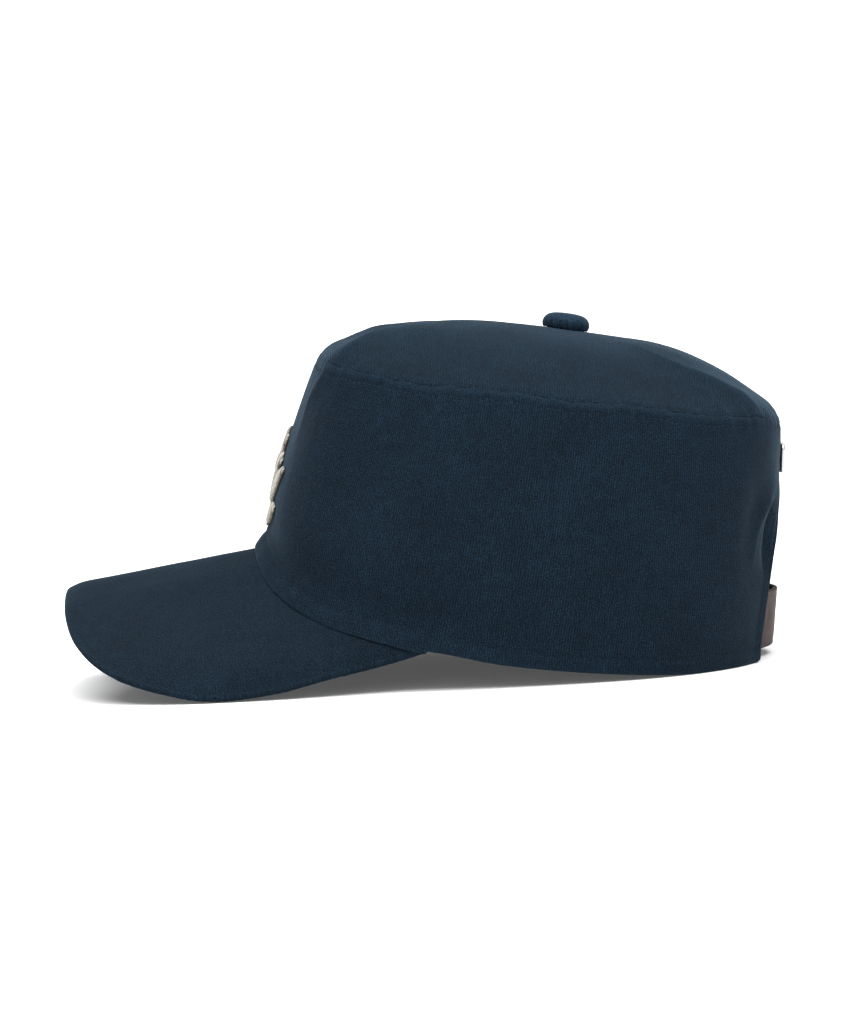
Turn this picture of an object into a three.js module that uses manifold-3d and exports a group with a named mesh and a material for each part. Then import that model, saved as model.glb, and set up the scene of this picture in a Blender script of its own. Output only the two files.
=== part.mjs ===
// A pillbox cap with an arched peak, resting on a flat surface as it does when it is put down:
// the two side edges of the peak and the back of the hem carry it.
// Millimetres. X is across the cap (+X is the wearer's left), Y runs from the peak (-Y) to the
// back (+Y), and Z is up from the surface, which is z = 0.
import * as THREE from "three";
import { mergeVertices } from "three/addons/utils/BufferGeometryUtils.js";
import Module from "manifold-3d";

const wasm = await Module();
wasm.setup();

// ---- Driving dimensions ----

const GAP = 0.3;

// Plan ovals. front, back and halfWidth are the reach of the plain oval, widest is the Y of its
// full width and squareness its exponent (2 is an ellipse). frontCut and backCut are straight
// lines across that flatten the ends.
const HEM_OVAL = {
  front: -62.5, back: 131.5, frontCut: -80, backCut: 150,
  widest: 32, halfWidth: 82, squareness: 2.5,
};
const SEAM_OVAL = {
  front: -44, back: 146, frontCut: -34.8, backCut: 143,
  widest: 52, halfWidth: 75.5, squareness: 2.1,
};
const CUT_SHARPNESS = 22;

// The seam between wall and tip falls toward the back, and sags at the sides.
const SEAM_LINE = { frontZ: 124.5, backZ: 92, sideSag: 3 };

// The hem behind the peak: its height above the surface, by Y.
const HEM_LINE = [
  { y: 0, z: 15.2 },
  { y: 8, z: 13.7 },
  { y: 27, z: 9 },
  { y: 46, z: 5.8 },
  { y: 65, z: 3.3 },
  { y: 84, z: 1.3 },
  { y: 104, z: 0 },
  { y: 140, z: 0 },
];

// bulge is how far the wall stands out past a straight line from hem to seam, at mid height.
const WALL = { thickness: 2, frontBulge: 1.2, sideBulge: 5, backBulge: 1 };

// The tip rises from the seam in rings that shrink to its middle. A higher fullness keeps the
// height out toward the seam.
const TIP = {
  thickness: 1.8, rise: 21.4, frontFullness: 1.95, sideFullness: 2.5, backFullness: 2.9,
  lengthPower: 0.8,
};

// Soft hips on the tip, on both sides: turn is the angle from the front, in degrees, and reach
// the share of the way to the middle at which a hip ends.
const HIPS = [
  { turn: 26, spread: 22, rise: 1.3, reach: 0.6 },
  { turn: 152, spread: 22, rise: 1.3, reach: 0.7 },
];

// Soft hollows in the wall: turn and spread as above, up and tall as shares of its height.
const HOLLOWS = [
  { turn: 153, spread: 9, up: 0.55, tall: 0.35, depth: 1.8 },
  { turn: -158, spread: 8, up: 0.6, tall: 0.3, depth: 1.2 },
  { turn: 48, spread: 20, up: 0.72, tall: 0.4, depth: 1.2 },
];

// The arch opening at the back, from the surface up.
const ARCH = { halfWidth: 32, height: 62.5, sides: 28 };

// The peak is an arch swept along a straight ridge that falls toward its front by slope. Its
// free edge is a superellipse ahead of widestY. margin is how far it runs in under the wall.
const PEAK = {
  thickness: 3, slope: 0.14, tipY: -137, halfWidth: 81.8, widestY: -52, squareness: 3.1,
  endY: 1, margin: 3.2, clearance: 6,
};

// The arch across the peak: how far its surface falls below the ridge, by the distance across.
// The first row only keeps the curve level over the ridge.
const PEAK_ARCH = [
  { across: -20, drop: 4.4 },
  { across: 0, drop: 0 },
  { across: 20, drop: 4.4 },
  { across: 40, drop: 13.8 },
  { across: 56, drop: 23 },
  { across: 70, drop: 33 },
  { across: 77, drop: 40 },
  { across: 82, drop: 49 },
  { across: 86, drop: 58 },
];

const BUTTON = { y: 60.5, radius: 9, height: 6 };
const STRAP = { thickness: 1.8, bottom: 3.4, height: 22, reach: 50, bow: 4.6, bowReach: 28 };
const BUCKLE = { across: -21, width: 10, bar: 1.5, metal: 1.2 };
const PLATE = { z: 75, width: 24, height: 11, corner: 2.5, metal: 1.6 };
const EMBLEM = { z: 78, depth: 1.1, ridge: 0.7, gap: 0.4 };

// Leaves, stem and petals of the emblem, each a tapered pad from one point to another.
const SPRIG = [
  { fromX: 0, fromZ: -6, toX: 0, toZ: -19, width: 2.6 },
  { fromX: 0, fromZ: -9, toX: 25, toZ: 4, width: 8.5 },
  { fromX: 0, fromZ: -9, toX: -25, toZ: 4, width: 8.5 },
  { fromX: 0, fromZ: -16, toX: 22, toZ: -11, width: 7.5 },
  { fromX: 0, fromZ: -16, toX: -22, toZ: -11, width: 7.5 },
];
const ROSETTE = { z: 6, petals: 8, radius: 13, petalWidth: 7.6, heart: 4.2 };

// Mesh fineness.
const COLUMNS = 96;
const WALL_ROWS = 8;
const TIP_RINGS = 8;
const PEAK_COLUMNS = 44;
const PEAK_ROWS = 7;

// ---- Small maths ----

const radians = THREE.MathUtils.degToRad;
const { lerp, clamp } = THREE.MathUtils;
const bell = (t) => (Math.abs(t) < 1 ? (1 - t * t) ** 2 : 0);
const steps = (count) => Array.from({ length: count + 1 }, (_, i) => i / count);

// A smooth curve through a table's rows that never overshoots them.
function tableCurve(rows, inKey, outKey) {
  const xs = rows.map((row) => row[inKey]);
  const ys = rows.map((row) => row[outKey]);
  const slopes = xs.slice(1).map((x, i) => (ys[i + 1] - ys[i]) / (x - xs[i]));
  const tangents = xs.map((_, i) => {
    const before = slopes[Math.max(0, i - 1)];
    const after = slopes[Math.min(slopes.length - 1, i)];
    return before * after <= 0 ? 0 : (2 * before * after) / (before + after);
  });
  return (x) => {
    let i = 0;
    while (i < xs.length - 2 && x > xs[i + 1]) i += 1;
    const width = xs[i + 1] - xs[i];
    const t = clamp((x - xs[i]) / width, 0, 1);
    const lead = t * (1 - t) ** 2 * width * tangents[i];
    const trail = t * t * (1 - t) * width * tangents[i + 1];
    return lerp(ys[i], ys[i + 1], t * t * (3 - 2 * t)) + lead - trail;
  };
}

// Evenly spaced points along a polyline.
function resample(points, count) {
  const along = [0];
  points.slice(1).forEach((p, i) => along.push(along[i] + p.distanceTo(points[i])));
  return steps(count).map((share) => {
    const wanted = share * along.at(-1);
    let i = 0;
    while (i < points.length - 2 && along[i + 1] < wanted) i += 1;
    const t = (wanted - along[i]) / (along[i + 1] - along[i]);
    return points[i].clone().lerp(points[i + 1], t);
  });
}

// ---- From points to closed meshes ----

function geometryOf(points, triangles) {
  const geometry = new THREE.BufferGeometry();
  const flat = points.flatMap((p) => [p.x, p.y, p.z]);
  geometry.setAttribute("position", new THREE.Float32BufferAttribute(flat, 3));
  geometry.setIndex(triangles.flat());
  return tidied(geometry);
}

// Merges shared vertices, drops triangles that have collapsed and turns the faces outward.
function tidied(geometry) {
  const bare = geometry.clone();
  bare.deleteAttribute("normal");
  bare.deleteAttribute("uv");
  const merged = mergeVertices(bare, 1e-4);
  const position = merged.attributes.position;
  const corner = (i) => new THREE.Vector3().fromBufferAttribute(position, i);
  const kept = [];
  let volume = 0;
  for (let i = 0; i < merged.index.count; i += 3) {
    const [a, b, c] = [0, 1, 2].map((k) => merged.index.getX(i + k));
    if (a === b || b === c || c === a) continue;
    kept.push(a, b, c);
    volume += corner(a).dot(corner(b).cross(corner(c)));
  }
  merged.setIndex(volume < 0 ? kept.reverse() : kept);
  return merged;
}

// The closed solid between two grids of points (rows of columns) of the same size. A wrapped
// grid closes on itself around its columns.
function shell(outer, inner, wrapped) {
  const rows = outer.length;
  const columns = outer[0].length;
  const points = [...outer.flat(), ...inner.flat()];
  const at = (side, r, c) => side * rows * columns + r * columns + (c % columns);
  const quads = [];
  const spans = wrapped ? columns : columns - 1;
  for (let c = 0; c < spans; c += 1) {
    for (let r = 0; r < rows - 1; r += 1) {
      quads.push([at(0, r, c), at(0, r, c + 1), at(0, r + 1, c + 1), at(0, r + 1, c)]);
      quads.push([at(1, r, c), at(1, r + 1, c), at(1, r + 1, c + 1), at(1, r, c + 1)]);
    }
    quads.push([at(0, 0, c), at(1, 0, c), at(1, 0, c + 1), at(0, 0, c + 1)]);
    const last = rows - 1;
    quads.push([at(0, last, c), at(0, last, c + 1), at(1, last, c + 1), at(1, last, c)]);
  }
  for (let r = 0; !wrapped && r < rows - 1; r += 1) {
    const end = columns - 1;
    quads.push([at(0, r, 0), at(0, r + 1, 0), at(1, r + 1, 0), at(1, r, 0)]);
    quads.push([at(0, r, end), at(1, r, end), at(1, r + 1, end), at(0, r + 1, end)]);
  }
  return geometryOf(points, quads.flatMap(([a, b, c, d]) => [[a, b, c], [a, c, d]]));
}

function toSolid(geometry) {
  return new wasm.Manifold(new wasm.Mesh({
    numProp: 3,
    vertProperties: new Float32Array(geometry.attributes.position.array),
    triVerts: new Uint32Array(geometry.index.array),
  }));
}

function fromSolid(solid) {
  const mesh = solid.getMesh();
  const geometry = new THREE.BufferGeometry();
  geometry.setAttribute("position", new THREE.Float32BufferAttribute(mesh.vertProperties, 3));
  geometry.setIndex(Array.from(mesh.triVerts));
  return tidied(geometry);
}

const joined = (geometries) => fromSolid(
  geometries.map(toSolid).reduce((whole, piece) => whole.add(piece)),
);

// Moves every vertex by a function from one Vector3 to another.
function bent(geometry, place) {
  const position = geometry.attributes.position;
  const points = Array.from({ length: position.count }, (_, i) => (
    place(new THREE.Vector3().fromBufferAttribute(position, i))
  ));
  position.copyArray(points.flatMap((p) => [p.x, p.y, p.z]));
  return tidied(geometry);
}

// ---- Plan ovals ----

// A point of the oval, at an angle turned from the front (-Y) toward +X.
function ovalPoint(oval, angle) {
  const ahead = Math.cos(angle);
  const across = Math.sin(angle);
  const isFront = ahead > 0;
  const reach = Math.abs((isFront ? oval.front : oval.back) - oval.widest);
  const cut = Math.abs((isFront ? oval.frontCut : oval.backCut) - oval.widest);
  const n = oval.squareness;
  const sum = Math.abs(ahead / reach) ** n + Math.abs(across / oval.halfWidth) ** n;
  const k = CUT_SHARPNESS;
  const radius = (sum ** (k / n) + Math.abs(ahead / cut) ** k) ** (-1 / k);
  return new THREE.Vector2(radius * across, oval.widest - radius * ahead);
}

const columnAngles = Array.from({ length: COLUMNS }, (_, i) => (i / COLUMNS) * 2 * Math.PI);

// The angle between two turns, the short way round.
const turnBetween = (a, b) => Math.abs(Math.atan2(Math.sin(a - b), Math.cos(a - b)));

// ---- Peak ----

const archDrop = tableCurve(PEAK_ARCH, "across", "drop");

// The peak's upper face before it is set down: its ridge starts at 0 at the cap's front.
const peakRise = (x, y) => PEAK.slope * (y - HEM_OVAL.front) - archDrop(Math.abs(x));

function peakNormal(x, y) {
  const step = 0.01;
  const slopeX = (peakRise(x + step, y) - peakRise(x - step, y)) / (2 * step);
  return new THREE.Vector3(-slopeX, -PEAK.slope, 1).normalize();
}

// The inner edge runs under the wall from one end of the peak to the other, and the free edge
// round the front.
function peakEdges() {
  const dense = 240;
  const around = steps(dense).map((share) => lerp(-Math.PI / 2, Math.PI / 2, share));
  const hem = around.map((angle) => {
    const p = ovalPoint(HEM_OVAL, angle * 1.3);
    const inward = 1 - PEAK.margin / p.distanceTo(new THREE.Vector2(0, HEM_OVAL.widest));
    return new THREE.Vector2(p.x * inward, lerp(HEM_OVAL.widest, p.y, inward));
  });
  const inner = hem.filter((p) => p.y < PEAK.endY);
  const power = 2 / PEAK.squareness;
  const free = around.map((angle) => new THREE.Vector2(
    Math.sign(angle) * PEAK.halfWidth * Math.abs(Math.sin(angle)) ** power,
    PEAK.widestY - (PEAK.widestY - PEAK.tipY) * Math.cos(angle) ** power,
  ));
  const endX = inner.at(-1).x + PEAK.margin - 0.5;
  const outer = [new THREE.Vector2(-endX, PEAK.endY), ...free, new THREE.Vector2(endX, PEAK.endY)];
  return [resample(inner, PEAK_COLUMNS), resample(outer, PEAK_COLUMNS)];
}

function peakGrids() {
  const [inner, outer] = peakEdges();
  const upper = steps(PEAK_ROWS).map((v) => inner.map((p, i) => {
    const { x, y } = p.clone().lerp(outer[i], v);
    return new THREE.Vector3(x, y, peakRise(x, y));
  }));
  const lower = upper.map((row) => row.map((p) => (
    p.clone().addScaledVector(peakNormal(p.x, p.y), -PEAK.thickness)
  )));
  return [upper, lower];
}

// Set down, the peak's lowest point touches the surface.
const PEAK_LIFT = -Math.min(...peakGrids().flat(2).map((p) => p.z));
const peakTop = (x, y) => peakRise(x, y) + PEAK_LIFT;

function makePeak() {
  const [upper, lower] = peakGrids();
  return shell(upper, lower, false).translate(0, 0, PEAK_LIFT);
}

// ---- Crown wall ----

const hemBehindPeak = tableCurve(HEM_LINE, "y", "z");

// The hem clears the peak ahead of its end, and for one column past it.
function hemHeight(x, y) {
  const overPeak = peakTop(x, y) + GAP;
  if (y < PEAK.endY) return overPeak;
  return y < PEAK.endY + PEAK.clearance ? Math.max(overPeak, hemBehindPeak(y)) : hemBehindPeak(y);
}

// The seam's height beside a point at Y = y, at an angle turned from the front. Inside the
// seam, at a size under 1, the sag fades out.
function seamHeight(y, angle, size = 1) {
  const back = (y - SEAM_OVAL.frontCut) / (SEAM_OVAL.backCut - SEAM_OVAL.frontCut);
  const sag = SEAM_LINE.sideSag * (1 - Math.cos(angle) ** 4) * size ** 2;
  return lerp(SEAM_LINE.frontZ, SEAM_LINE.backZ, back) - sag;
}

function wallBulge(angle, up) {
  const c = Math.cos(angle);
  const end = c > 0 ? WALL.frontBulge : WALL.backBulge;
  const hollows = HOLLOWS.map((row) => {
    const side = bell(turnBetween(angle, radians(row.turn)) / radians(row.spread));
    return row.depth * side * bell((up - row.up) / row.tall);
  });
  const round = lerp(WALL.sideBulge, end, c * c) * 4 * up * (1 - up);
  return round - hollows.reduce((a, b) => a + b);
}

// A point of the wall: up is 0 at the hem and 1 at the seam, and out is how far it lies outside
// the wall's outer face, level.
function wallPoint(angle, up, out = 0) {
  const level = (turn) => ovalPoint(HEM_OVAL, turn).lerp(ovalPoint(SEAM_OVAL, turn), up);
  const step = 1e-3;
  const along = level(angle + step).sub(level(angle - step)).normalize();
  const offset = new THREE.Vector2(along.y, -along.x).multiplyScalar(wallBulge(angle, up) + out);
  const { x, y } = level(angle).add(offset);
  const foot = ovalPoint(HEM_OVAL, angle).add(offset.multiplyScalar(1 - up));
  const head = ovalPoint(SEAM_OVAL, angle);
  return new THREE.Vector3(x, y, lerp(hemHeight(foot.x, foot.y), seamHeight(head.y, angle), up));
}

// A point given by x (about), height z and distance out, on the front or the back of the wall.
function onWall(side, x, z, out) {
  const middle = side === "front" ? 0 : Math.PI;
  const reach = Math.abs(wallPoint(middle, 0.5).y - lerp(HEM_OVAL.widest, SEAM_OVAL.widest, 0.5));
  const angle = side === "front" ? x / reach : Math.PI - x / reach;
  const foot = wallPoint(angle, 0).z;
  const head = wallPoint(angle, 1).z;
  return wallPoint(angle, (z - foot) / (head - foot), out);
}

function makeArchCutter() {
  const outline = steps(ARCH.sides).map((share) => {
    const turn = share * Math.PI;
    return new THREE.Vector2(ARCH.halfWidth * Math.cos(turn), ARCH.height * Math.sin(turn));
  });
  const below = [new THREE.Vector2(-ARCH.halfWidth, -5), new THREE.Vector2(ARCH.halfWidth, -5)];
  const shape = new THREE.Shape([...outline, ...below]);
  const cutter = new THREE.ExtrudeGeometry(shape, { depth: 60, bevelEnabled: false });
  return tidied(cutter.rotateX(Math.PI / 2).translate(0, 150, 0));
}

function makeCrownWall() {
  const grid = (out) => steps(WALL_ROWS).map((up) => (
    columnAngles.map((angle) => wallPoint(angle, up, out))
  ));
  const band = shell(grid(0), grid(-WALL.thickness), true);
  return fromSolid(toSolid(band).subtract(toSolid(makeArchCutter())));
}

// ---- Crown top ----

// A point of the tip's outer face: size is 1 at the seam and 0 at the middle.
function tipPoint(angle, size) {
  const rim = ovalPoint(SEAM_OVAL, angle);
  const x = rim.x * size;
  const y = lerp(SEAM_OVAL.widest, rim.y, size ** TIP.lengthPower);
  const c = Math.cos(angle);
  const end = c > 0 ? TIP.frontFullness : TIP.backFullness;
  const fullness = lerp(TIP.sideFullness, end, c * c);
  const hips = HIPS.map((hip) => {
    const turn = Math.acos(clamp(c, -1, 1));
    const side = bell((turn - radians(hip.turn)) / radians(hip.spread));
    const share = (1 - size) / hip.reach;
    return hip.rise * side * 4 * Math.max(0, share * (1 - share));
  });
  const rise = TIP.rise * (1 - size ** fullness) + hips.reduce((a, b) => a + b);
  return new THREE.Vector3(x, y, seamHeight(y, angle, size) + GAP + rise);
}

function tipNormal(angle, size) {
  const step = 1e-3;
  const round = tipPoint(angle + step, size).sub(tipPoint(angle - step, size));
  const inward = tipPoint(angle, size - step).sub(tipPoint(angle, size + step));
  return round.cross(inward).normalize();
}

function makeCrownTop() {
  const sizes = steps(TIP_RINGS).map((share) => 1 - share ** 1.4);
  const outer = sizes.map((size) => columnAngles.map((angle) => tipPoint(angle, size)));
  const inner = sizes.map((size, ring) => columnAngles.map((angle, i) => {
    const at = outer[ring][i].clone();
    if (size === 0) return at.add(new THREE.Vector3(0, 0, -TIP.thickness));
    const normal = tipNormal(angle, size);
    if (ring === 0) normal.setZ(0).normalize();
    return at.addScaledVector(normal, -TIP.thickness);
  }));
  return shell(outer, inner, true);
}

// ---- Button ----

function makeButton() {
  const { radius, height } = BUTTON;
  const profile = [
    [0, 0], [0.9, 0], [1, 0.16], [1, 0.45], [0.88, 0.74], [0.6, 0.93], [0.25, 1], [0, 1],
  ].map(([r, h]) => new THREE.Vector2(r * radius, h * height));
  return tidied(new THREE.LatheGeometry(profile, 24).rotateX(Math.PI / 2));
}

// Where the button sits: the tip's surface and its slope on the middle plane.
function placeButton(mesh) {
  const angle = BUTTON.y > SEAM_OVAL.widest ? Math.PI : 0;
  const reach = Math.abs(ovalPoint(SEAM_OVAL, angle).y - SEAM_OVAL.widest);
  const share = Math.abs(BUTTON.y - SEAM_OVAL.widest) / reach;
  const size = share ** (1 / TIP.lengthPower);
  const normal = tipNormal(angle, size);
  mesh.position.copy(tipPoint(angle, size)).addScaledVector(normal, GAP);
  mesh.quaternion.setFromUnitVectors(new THREE.Vector3(0, 0, 1), normal);
}

// ---- Strap and its buckle ----

// A point of the strap: x along it, z up from the surface and out from its outer face. It lies
// against the inside of the wall and bows out through the arch.
function onStrap({ x, y: out, z }) {
  const bow = STRAP.bow * bell(x / STRAP.bowReach);
  return onWall("back", x, z, out + bow - WALL.thickness - GAP);
}

function strapBox(x0, x1, z0, z1, out0, out1) {
  const box = new THREE.BoxGeometry(x1 - x0, out1 - out0, z1 - z0, Math.ceil((x1 - x0) / 3), 1, 2);
  return box.translate((x0 + x1) / 2, (out0 + out1) / 2, (z0 + z1) / 2);
}

function makeStrap() {
  const { thickness, bottom, height, reach } = STRAP;
  return bent(strapBox(-reach, reach, bottom, bottom + height, -thickness, 0), onStrap);
}

// A plain slide: two bars in front of the strap, one behind, and rails above and below it.
function makeBuckle() {
  const { across, width, bar, metal } = BUCKLE;
  const [left, right] = [across - width / 2, across + width / 2];
  const [low, high] = [STRAP.bottom - GAP, STRAP.bottom + STRAP.height + GAP];
  const [back, front] = [-STRAP.thickness - GAP - metal, GAP + metal];
  const pieces = [
    strapBox(left, right, low - bar, low, back, front),
    strapBox(left, right, high, high + bar, back, front),
    strapBox(left, left + bar, low - bar, high + bar, GAP, front),
    strapBox(right - bar, right, low - bar, high + bar, GAP, front),
    strapBox(across - bar / 2, across + bar / 2, low - bar, high + bar, back, back + metal),
  ];
  return joined(pieces.map((piece) => bent(piece, onStrap)));
}

// ---- Plate over the arch ----

function makePlate() {
  const { width, height, corner, metal, z } = PLATE;
  const outline = [0, 1, 2, 3].flatMap((quarter) => {
    const turn = quarter * Math.PI / 2;
    const signX = quarter === 0 || quarter === 3 ? 1 : -1;
    const signZ = quarter < 2 ? 1 : -1;
    return steps(4).map((share) => new THREE.Vector2(
      signX * (width / 2 - corner) + corner * Math.cos(turn + share * Math.PI / 2),
      signZ * (height / 2 - corner) + corner * Math.sin(turn + share * Math.PI / 2),
    ));
  });
  const inset = (by) => outline.map((p) => p.clone().multiplyScalar(1 - (2 * by) / height));
  // Rows from the back face's middle, out over the rim and in to the front face's middle.
  const rows = [
    { by: height / 2, out: 0 }, { by: 0, out: 0 }, { by: 0, out: metal * 0.6 },
    { by: 0.7, out: metal }, { by: 1.6, out: metal }, { by: 1.9, out: metal * 0.75 },
    { by: height / 2, out: metal * 0.75 },
  ];
  const grid = rows.map((row) => inset(row.by).map((p) => (
    onWall("back", p.x, z + p.y, GAP + row.out)
  )));
  const at = (r, c) => r * outline.length + (c % outline.length);
  const triangles = rows.slice(1).flatMap((_, r) => outline.flatMap((__, c) => [
    [at(r, c), at(r, c + 1), at(r + 1, c + 1)], [at(r, c), at(r + 1, c + 1), at(r + 1, c)],
  ]));
  return geometryOf(grid.flat(), triangles);
}

// ---- Front emblem ----

// A padded leaf on the wall's front: a loft of five-cornered sections, widest at its middle.
function makeLeaf({ fromX, fromZ, toX, toZ, width }) {
  const from = new THREE.Vector2(fromX, fromZ);
  const to = new THREE.Vector2(toX, toZ);
  const along = to.clone().sub(from).normalize();
  const side = new THREE.Vector2(-along.y, along.x);
  const { depth, ridge, gap, z } = EMBLEM;
  const section = [[-1, 0], [-1, depth], [0, depth + ridge], [1, depth], [1, 0]];
  const rows = steps(7).map((share) => {
    const half = Math.max(0.5, (width / 2) * Math.sin(Math.PI * share) ** 0.75);
    const middle = from.clone().lerp(to, share);
    return section.map(([across, out]) => {
      const p = middle.clone().addScaledVector(side, across * half);
      return onWall("front", p.x, z + p.y, gap + out);
    });
  });
  const count = section.length;
  const at = (r, c) => r * count + (c % count);
  const triangles = [];
  for (let r = 0; r < rows.length - 1; r += 1) {
    for (let c = 0; c < count; c += 1) {
      triangles.push([at(r, c), at(r, c + 1), at(r + 1, c + 1)]);
      triangles.push([at(r, c), at(r + 1, c + 1), at(r + 1, c)]);
    }
  }
  const last = rows.length - 1;
  for (let c = 1; c < count - 1; c += 1) {
    triangles.push([at(0, 0), at(0, c + 1), at(0, c)]);
    triangles.push([at(last, 0), at(last, c), at(last, c + 1)]);
  }
  return geometryOf(rows.flat(), triangles);
}

function makeEmblem() {
  const { petals, radius, petalWidth, heart } = ROSETTE;
  const flower = Array.from({ length: petals }, (_, i) => {
    const turn = (i / petals) * 2 * Math.PI;
    const reach = (r) => [r * Math.cos(turn), ROSETTE.z + r * Math.sin(turn)];
    const [fromX, fromZ] = reach(1);
    const [toX, toZ] = reach(radius);
    return makeLeaf({ fromX, fromZ, toX, toZ, width: petalWidth });
  });
  const disc = new THREE.CylinderGeometry(heart * 0.7, heart, EMBLEM.depth + 1.4, 16);
  const onFront = (p) => onWall(
    "front", p.x, EMBLEM.z + ROSETTE.z + p.z, EMBLEM.gap + p.y + (EMBLEM.depth + 1.4) / 2,
  );
  return joined([...SPRIG.map(makeLeaf), ...flower, bent(tidied(disc), onFront)]);
}

// ---- The cap ----

const CLOTH = { color: 0x1c2834, roughness: 0.95, metalness: 0 };
const MATERIALS = {
  twill: CLOTH,
  tipTwill: { ...CLOTH, color: 0x2a3947 },
  peakCloth: { ...CLOTH, color: 0x222e3a },
  leather: { color: 0x5a4538, roughness: 0.6, metalness: 0 },
  thread: { color: 0xbebbb2, roughness: 0.8, metalness: 0 },
  steel: { color: 0xb8babd, roughness: 0.3, metalness: 1 },
};

const cap = new THREE.Group();

function add(name, geometry, material) {
  const mesh = new THREE.Mesh(geometry, new THREE.MeshStandardMaterial(MATERIALS[material]));
  mesh.name = name;
  cap.add(mesh);
  return mesh;
}

add("crown_wall", makeCrownWall(), "twill");
add("crown_top", makeCrownTop(), "tipTwill");
placeButton(add("button", makeButton(), "tipTwill"));
add("peak", makePeak(), "peakCloth");
add("strap", makeStrap(), "leather");
add("strap_buckle", makeBuckle(), "steel");
add("front_emblem", makeEmblem(), "thread");
add("back_plate", makePlate(), "steel");

// The origin is under the middle of the cap's length.
const bounds = new THREE.Box3().setFromObject(cap, true);
cap.position.y = -(bounds.min.y + bounds.max.y) / 2;

export default cap;
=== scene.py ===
# %% [markdown]
# # A pillbox cap in navy cotton twill
# The frame holds the cap's solids at their real size. This script dresses them: cloth with its
# ribs, puckers and topstitching, a leather strap, polished metal and padded embroidery.

# %% Load the frame
import bmesh
import bpy
import math
import numpy as np
from mathutils import Matrix, Vector, noise
from mathutils.bvhtree import BVHTree


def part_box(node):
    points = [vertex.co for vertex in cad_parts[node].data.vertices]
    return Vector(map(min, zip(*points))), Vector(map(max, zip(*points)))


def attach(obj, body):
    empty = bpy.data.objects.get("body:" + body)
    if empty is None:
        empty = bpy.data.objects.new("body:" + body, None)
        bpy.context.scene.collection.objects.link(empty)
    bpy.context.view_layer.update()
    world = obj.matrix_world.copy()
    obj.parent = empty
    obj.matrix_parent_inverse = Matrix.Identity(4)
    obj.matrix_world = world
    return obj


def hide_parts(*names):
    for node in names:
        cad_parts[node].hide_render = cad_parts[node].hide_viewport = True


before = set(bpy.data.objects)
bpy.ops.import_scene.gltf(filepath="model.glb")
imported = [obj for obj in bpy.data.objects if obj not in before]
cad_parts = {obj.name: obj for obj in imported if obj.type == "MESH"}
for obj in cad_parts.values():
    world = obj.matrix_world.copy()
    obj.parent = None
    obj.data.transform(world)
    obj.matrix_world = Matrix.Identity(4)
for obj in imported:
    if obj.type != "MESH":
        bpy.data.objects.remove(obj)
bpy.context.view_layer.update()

MM = 0.001
print("frame:", sorted(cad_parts))

# %% [markdown]
# ## Camera, floor and light
# A cap in a shop catalogue stands on a pale table under one big soft light. A camera two metres
# away with a long lens keeps the shape true. The light could be an area lamp, but its strength
# falls off over the floor, so a sun lamp with a very wide angle stands for a soft box that covers
# the ceiling. The room is white at the horizon and dimmer above it, so that cloth that faces up is
# clearly lighter than cloth that faces sideways.

# %% Camera at the wearer's left
CAMERA_AIM = Vector((0, 0.0010, 0.0610))
CAMERA_DISTANCE, CAMERA_ELEVATION, CAMERA_ROLL = 2.0, math.radians(4.2), math.radians(3.05)
SENSOR_WIDTH, LENS = 36, 182.6  # mm
camera = bpy.data.objects.new("camera", bpy.data.cameras.new("camera"))
camera.data.sensor_width, camera.data.lens = SENSOR_WIDTH, LENS
backward = Vector((math.cos(CAMERA_ELEVATION), 0, math.sin(CAMERA_ELEVATION)))
facing = (-backward).to_track_quat("-Z", "Y").to_matrix().to_4x4()
camera.matrix_world = (Matrix.Translation(CAMERA_AIM + backward * CAMERA_DISTANCE) @ facing
                       @ Matrix.Rotation(-CAMERA_ROLL, 4, "Z"))
bpy.context.collection.objects.link(camera)
bpy.context.scene.camera = camera
bpy.context.scene.view_settings.view_transform = "Standard"
print("camera at", [round(v, 3) for v in camera.location])


# %% [markdown]
# ## Nodes and colours
# Every material here is a small node tree, so one helper adds a node, sets it and links it, and
# one function turns the colours a person reads off a swatch into the linear light Blender uses.

# %% Helpers for materials
def linear(hex_colour, gain=1.0):
    """An sRGB hex colour such as "1c2834" as linear RGBA."""
    parts = [int(hex_colour[i:i + 2], 16) / 255 for i in (0, 2, 4)]
    light = [p / 12.92 if p <= 0.04045 else ((p + 0.055) / 1.055) ** 2.4 for p in parts]
    return (*(gain * value for value in light), 1.0)


def add(tree, kind, inputs=None, **settings):
    """Adds a node. Each input, by name or number, is a value or another node's output to link.

    A Mix of colours has its share at 0, its colours at 6 and 7, and its result at output 2. A
    MapRange has its value at 0, the range it comes in at 1 and 2 (0 to 1 where none is given),
    and the range it goes to at 3 and 4.
    """
    made = tree.nodes.new("ShaderNode" + kind)
    for name, value in settings.items():
        setattr(made, name, value)
    for name, value in (inputs or {}).items():
        if isinstance(value, bpy.types.NodeSocket):
            tree.links.new(value, made.inputs[name])
        else:
            made.inputs[name].default_value = value
    return made


def new_material(name, build):
    """A material whose tree is filled by build(tree), which returns the shader node."""
    material = bpy.data.materials.new(name)
    material.use_nodes = True
    tree = material.node_tree
    tree.nodes.clear()
    add(tree, "OutputMaterial", {"Surface": build(tree).outputs[0]})
    return material


# %% World, floor and the overhead light
HORIZON_LIGHT, ROOM_LIGHT = 1.1, 0.4
BAND_TOP, BAND_END = math.sin(math.radians(8)), math.sin(math.radians(22))
# (name, direction toward the light, spread in degrees, strength)
LIGHTS = [("overhead_soft_light", (0.15, 0.02, 1.0), 80, 6.2),
          ("side_fill", (1.0, 0.0, 0.3), 60, 0.45)]

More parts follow.
